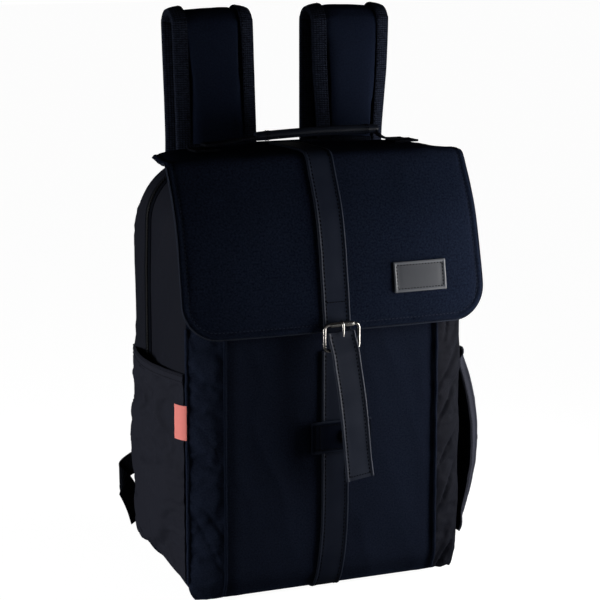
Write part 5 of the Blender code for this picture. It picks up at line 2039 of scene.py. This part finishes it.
# ---------------------------------------------------------------------------- the studio
@dataclass
class Studio:
    """Pale floor, soft lights and the camera."""

    azimuth: float = -24.04
    elevation: float = 10.5
    distance: float = 2.073
    target: tuple[float, float, float] = (0.0, 0.0, 0.28)
    lens: float = 125.4
    shift: tuple[float, float] = (0.0045, -0.0115)
    ambient: float = 0.03

    def aim(self, data: bpy.types.ID, azimuth: float, elevation: float, distance: float) -> bpy.types.Object:
        """Stand a camera or a lamp round the bag and aim it at the middle.

        Args:
            data: The camera's or the lamp's data.
            azimuth: Degrees to the right of the bag's front.
            elevation: Degrees above the level.
            distance: Metres from the target.

        Returns:
            The new object.
        """
        a, e = math.radians(azimuth), math.radians(elevation)
        back = Vector((math.sin(a) * math.cos(e), -math.cos(a) * math.cos(e), math.sin(e)))
        obj = bpy.data.objects.new(data.name, data)
        bpy.context.scene.collection.objects.link(obj)
        obj.location = Vector(self.target) + back * distance
        obj.rotation_euler = back.to_track_quat("Z", "Y").to_euler()
        return obj

    def camera(self) -> None:
        """Aim the camera at the bag from its front left."""
        data = bpy.data.cameras.new("camera")
        data.lens, data.sensor_width = self.lens, 36.0
        data.shift_x, data.shift_y = self.shift
        data.clip_end = 50.0
        bpy.context.scene.camera = self.aim(data, self.azimuth, self.elevation, self.distance)

    def light(self, name: str, azimuth: float, elevation: float, distance: float, size: tuple[float, float],
              power: float, color: Color) -> None:
        """A soft light aimed at the bag.

        Args:
            name: The light's name.
            azimuth: Degrees to the right of the bag's front.
            elevation: Degrees above the level.
            distance: Metres from the target.
            size: Its width and height.
            power: Its power in watts.
            color: Its colour.
        """
        data = bpy.data.lights.new(name, "AREA")
        data.shape, data.energy, data.color = "RECTANGLE", power, color
        data.size, data.size_y = size
        self.aim(data, azimuth, elevation, distance)

    def pale(self, material: bpy.types.Material, shade: float, glow: float) -> None:
        """A matt pale surface that keeps its soft shadows and looks near white to the camera.

        Args:
            material: The surface's material.
            shade: How much light it gives back.
            glow: The brightness added where it is looked at directly.
        """
        material.use_nodes = True
        wire = Wiring(material.node_tree)
        shader = material.node_tree.nodes["Principled BSDF"]
        shader.inputs["Base Color"].default_value = (shade, shade, shade, 1.0)
        shader.inputs["Roughness"].default_value = 0.95
        shader.inputs["Specular IOR Level"].default_value = 0.0
        shader.inputs["Emission Color"].default_value = (1.0, 1.0, 1.0, 1.0)
        path = wire.node("ShaderNodeLightPath")
        wire.feed(shader.inputs["Emission Strength"], wire.math("MULTIPLY", path.outputs["Is Camera Ray"], glow))

    def floor(self) -> None:
        """A wide pale floor just under the bag."""
        bpy.ops.object.select_all(action="DESELECT")
        bpy.ops.mesh.primitive_plane_add(size=24.0, location=(0.0, 0.0, min(0.0, CAD_BOX[0][2]) - 0.0022))
        floor = started("floor")
        place_in_mesh(floor)
        material = bpy.data.materials.new("pale_floor")
        self.pale(material, 0.2, 0.97)
        floor.data.materials.append(material)

    def surround(self) -> None:
        """A white surround whose light on the bag is dimmer than it looks."""
        world = bpy.data.worlds.new("studio")
        world.use_nodes = True
        wire = Wiring(world.node_tree)
        path = wire.node("ShaderNodeLightPath")
        background = world.node_tree.nodes["Background"]
        background.inputs["Color"].default_value = (1.0, 1.0, 1.0, 1.0)
        wire.feed(background.inputs["Strength"],
                  wire.math("MULTIPLY_ADD", path.outputs["Is Camera Ray"], 1.0 - self.ambient, self.ambient))
        bpy.context.scene.world = world

    def build(self) -> None:
        """Set up the whole studio."""
        self.camera()
        self.floor()
        self.surround()
        self.light("key", 61.0, -3.0, 0.5, (0.28, 0.44), 4.6, (1.0, 0.99, 0.98))
        self.light("side", -90.0, -2.0, 1.6, (0.9, 0.5), 18.5, (0.98, 0.99, 1.0))
        self.light("front", 12.0, -2.0, 2.4, (1.0, 0.5), 1.6, (0.97, 0.99, 1.0))
        bpy.context.scene.view_settings.view_transform = "Standard"


def main() -> None:
    """Build every sub-assembly, then the studio."""
    logging.basicConfig(level=logging.INFO, format="%(message)s")
    for part in (Studio(), Front(), Base(), Zip(), Back(), Pockets(), Flap(), Handle(), Buckle(), Closure(),
                 ShoulderStraps(), LowerWebbing(), Sliders()):
        part.build()
        LOG.info("%s is done", type(part).__name__)


if __name__ == "__main__":
    main()
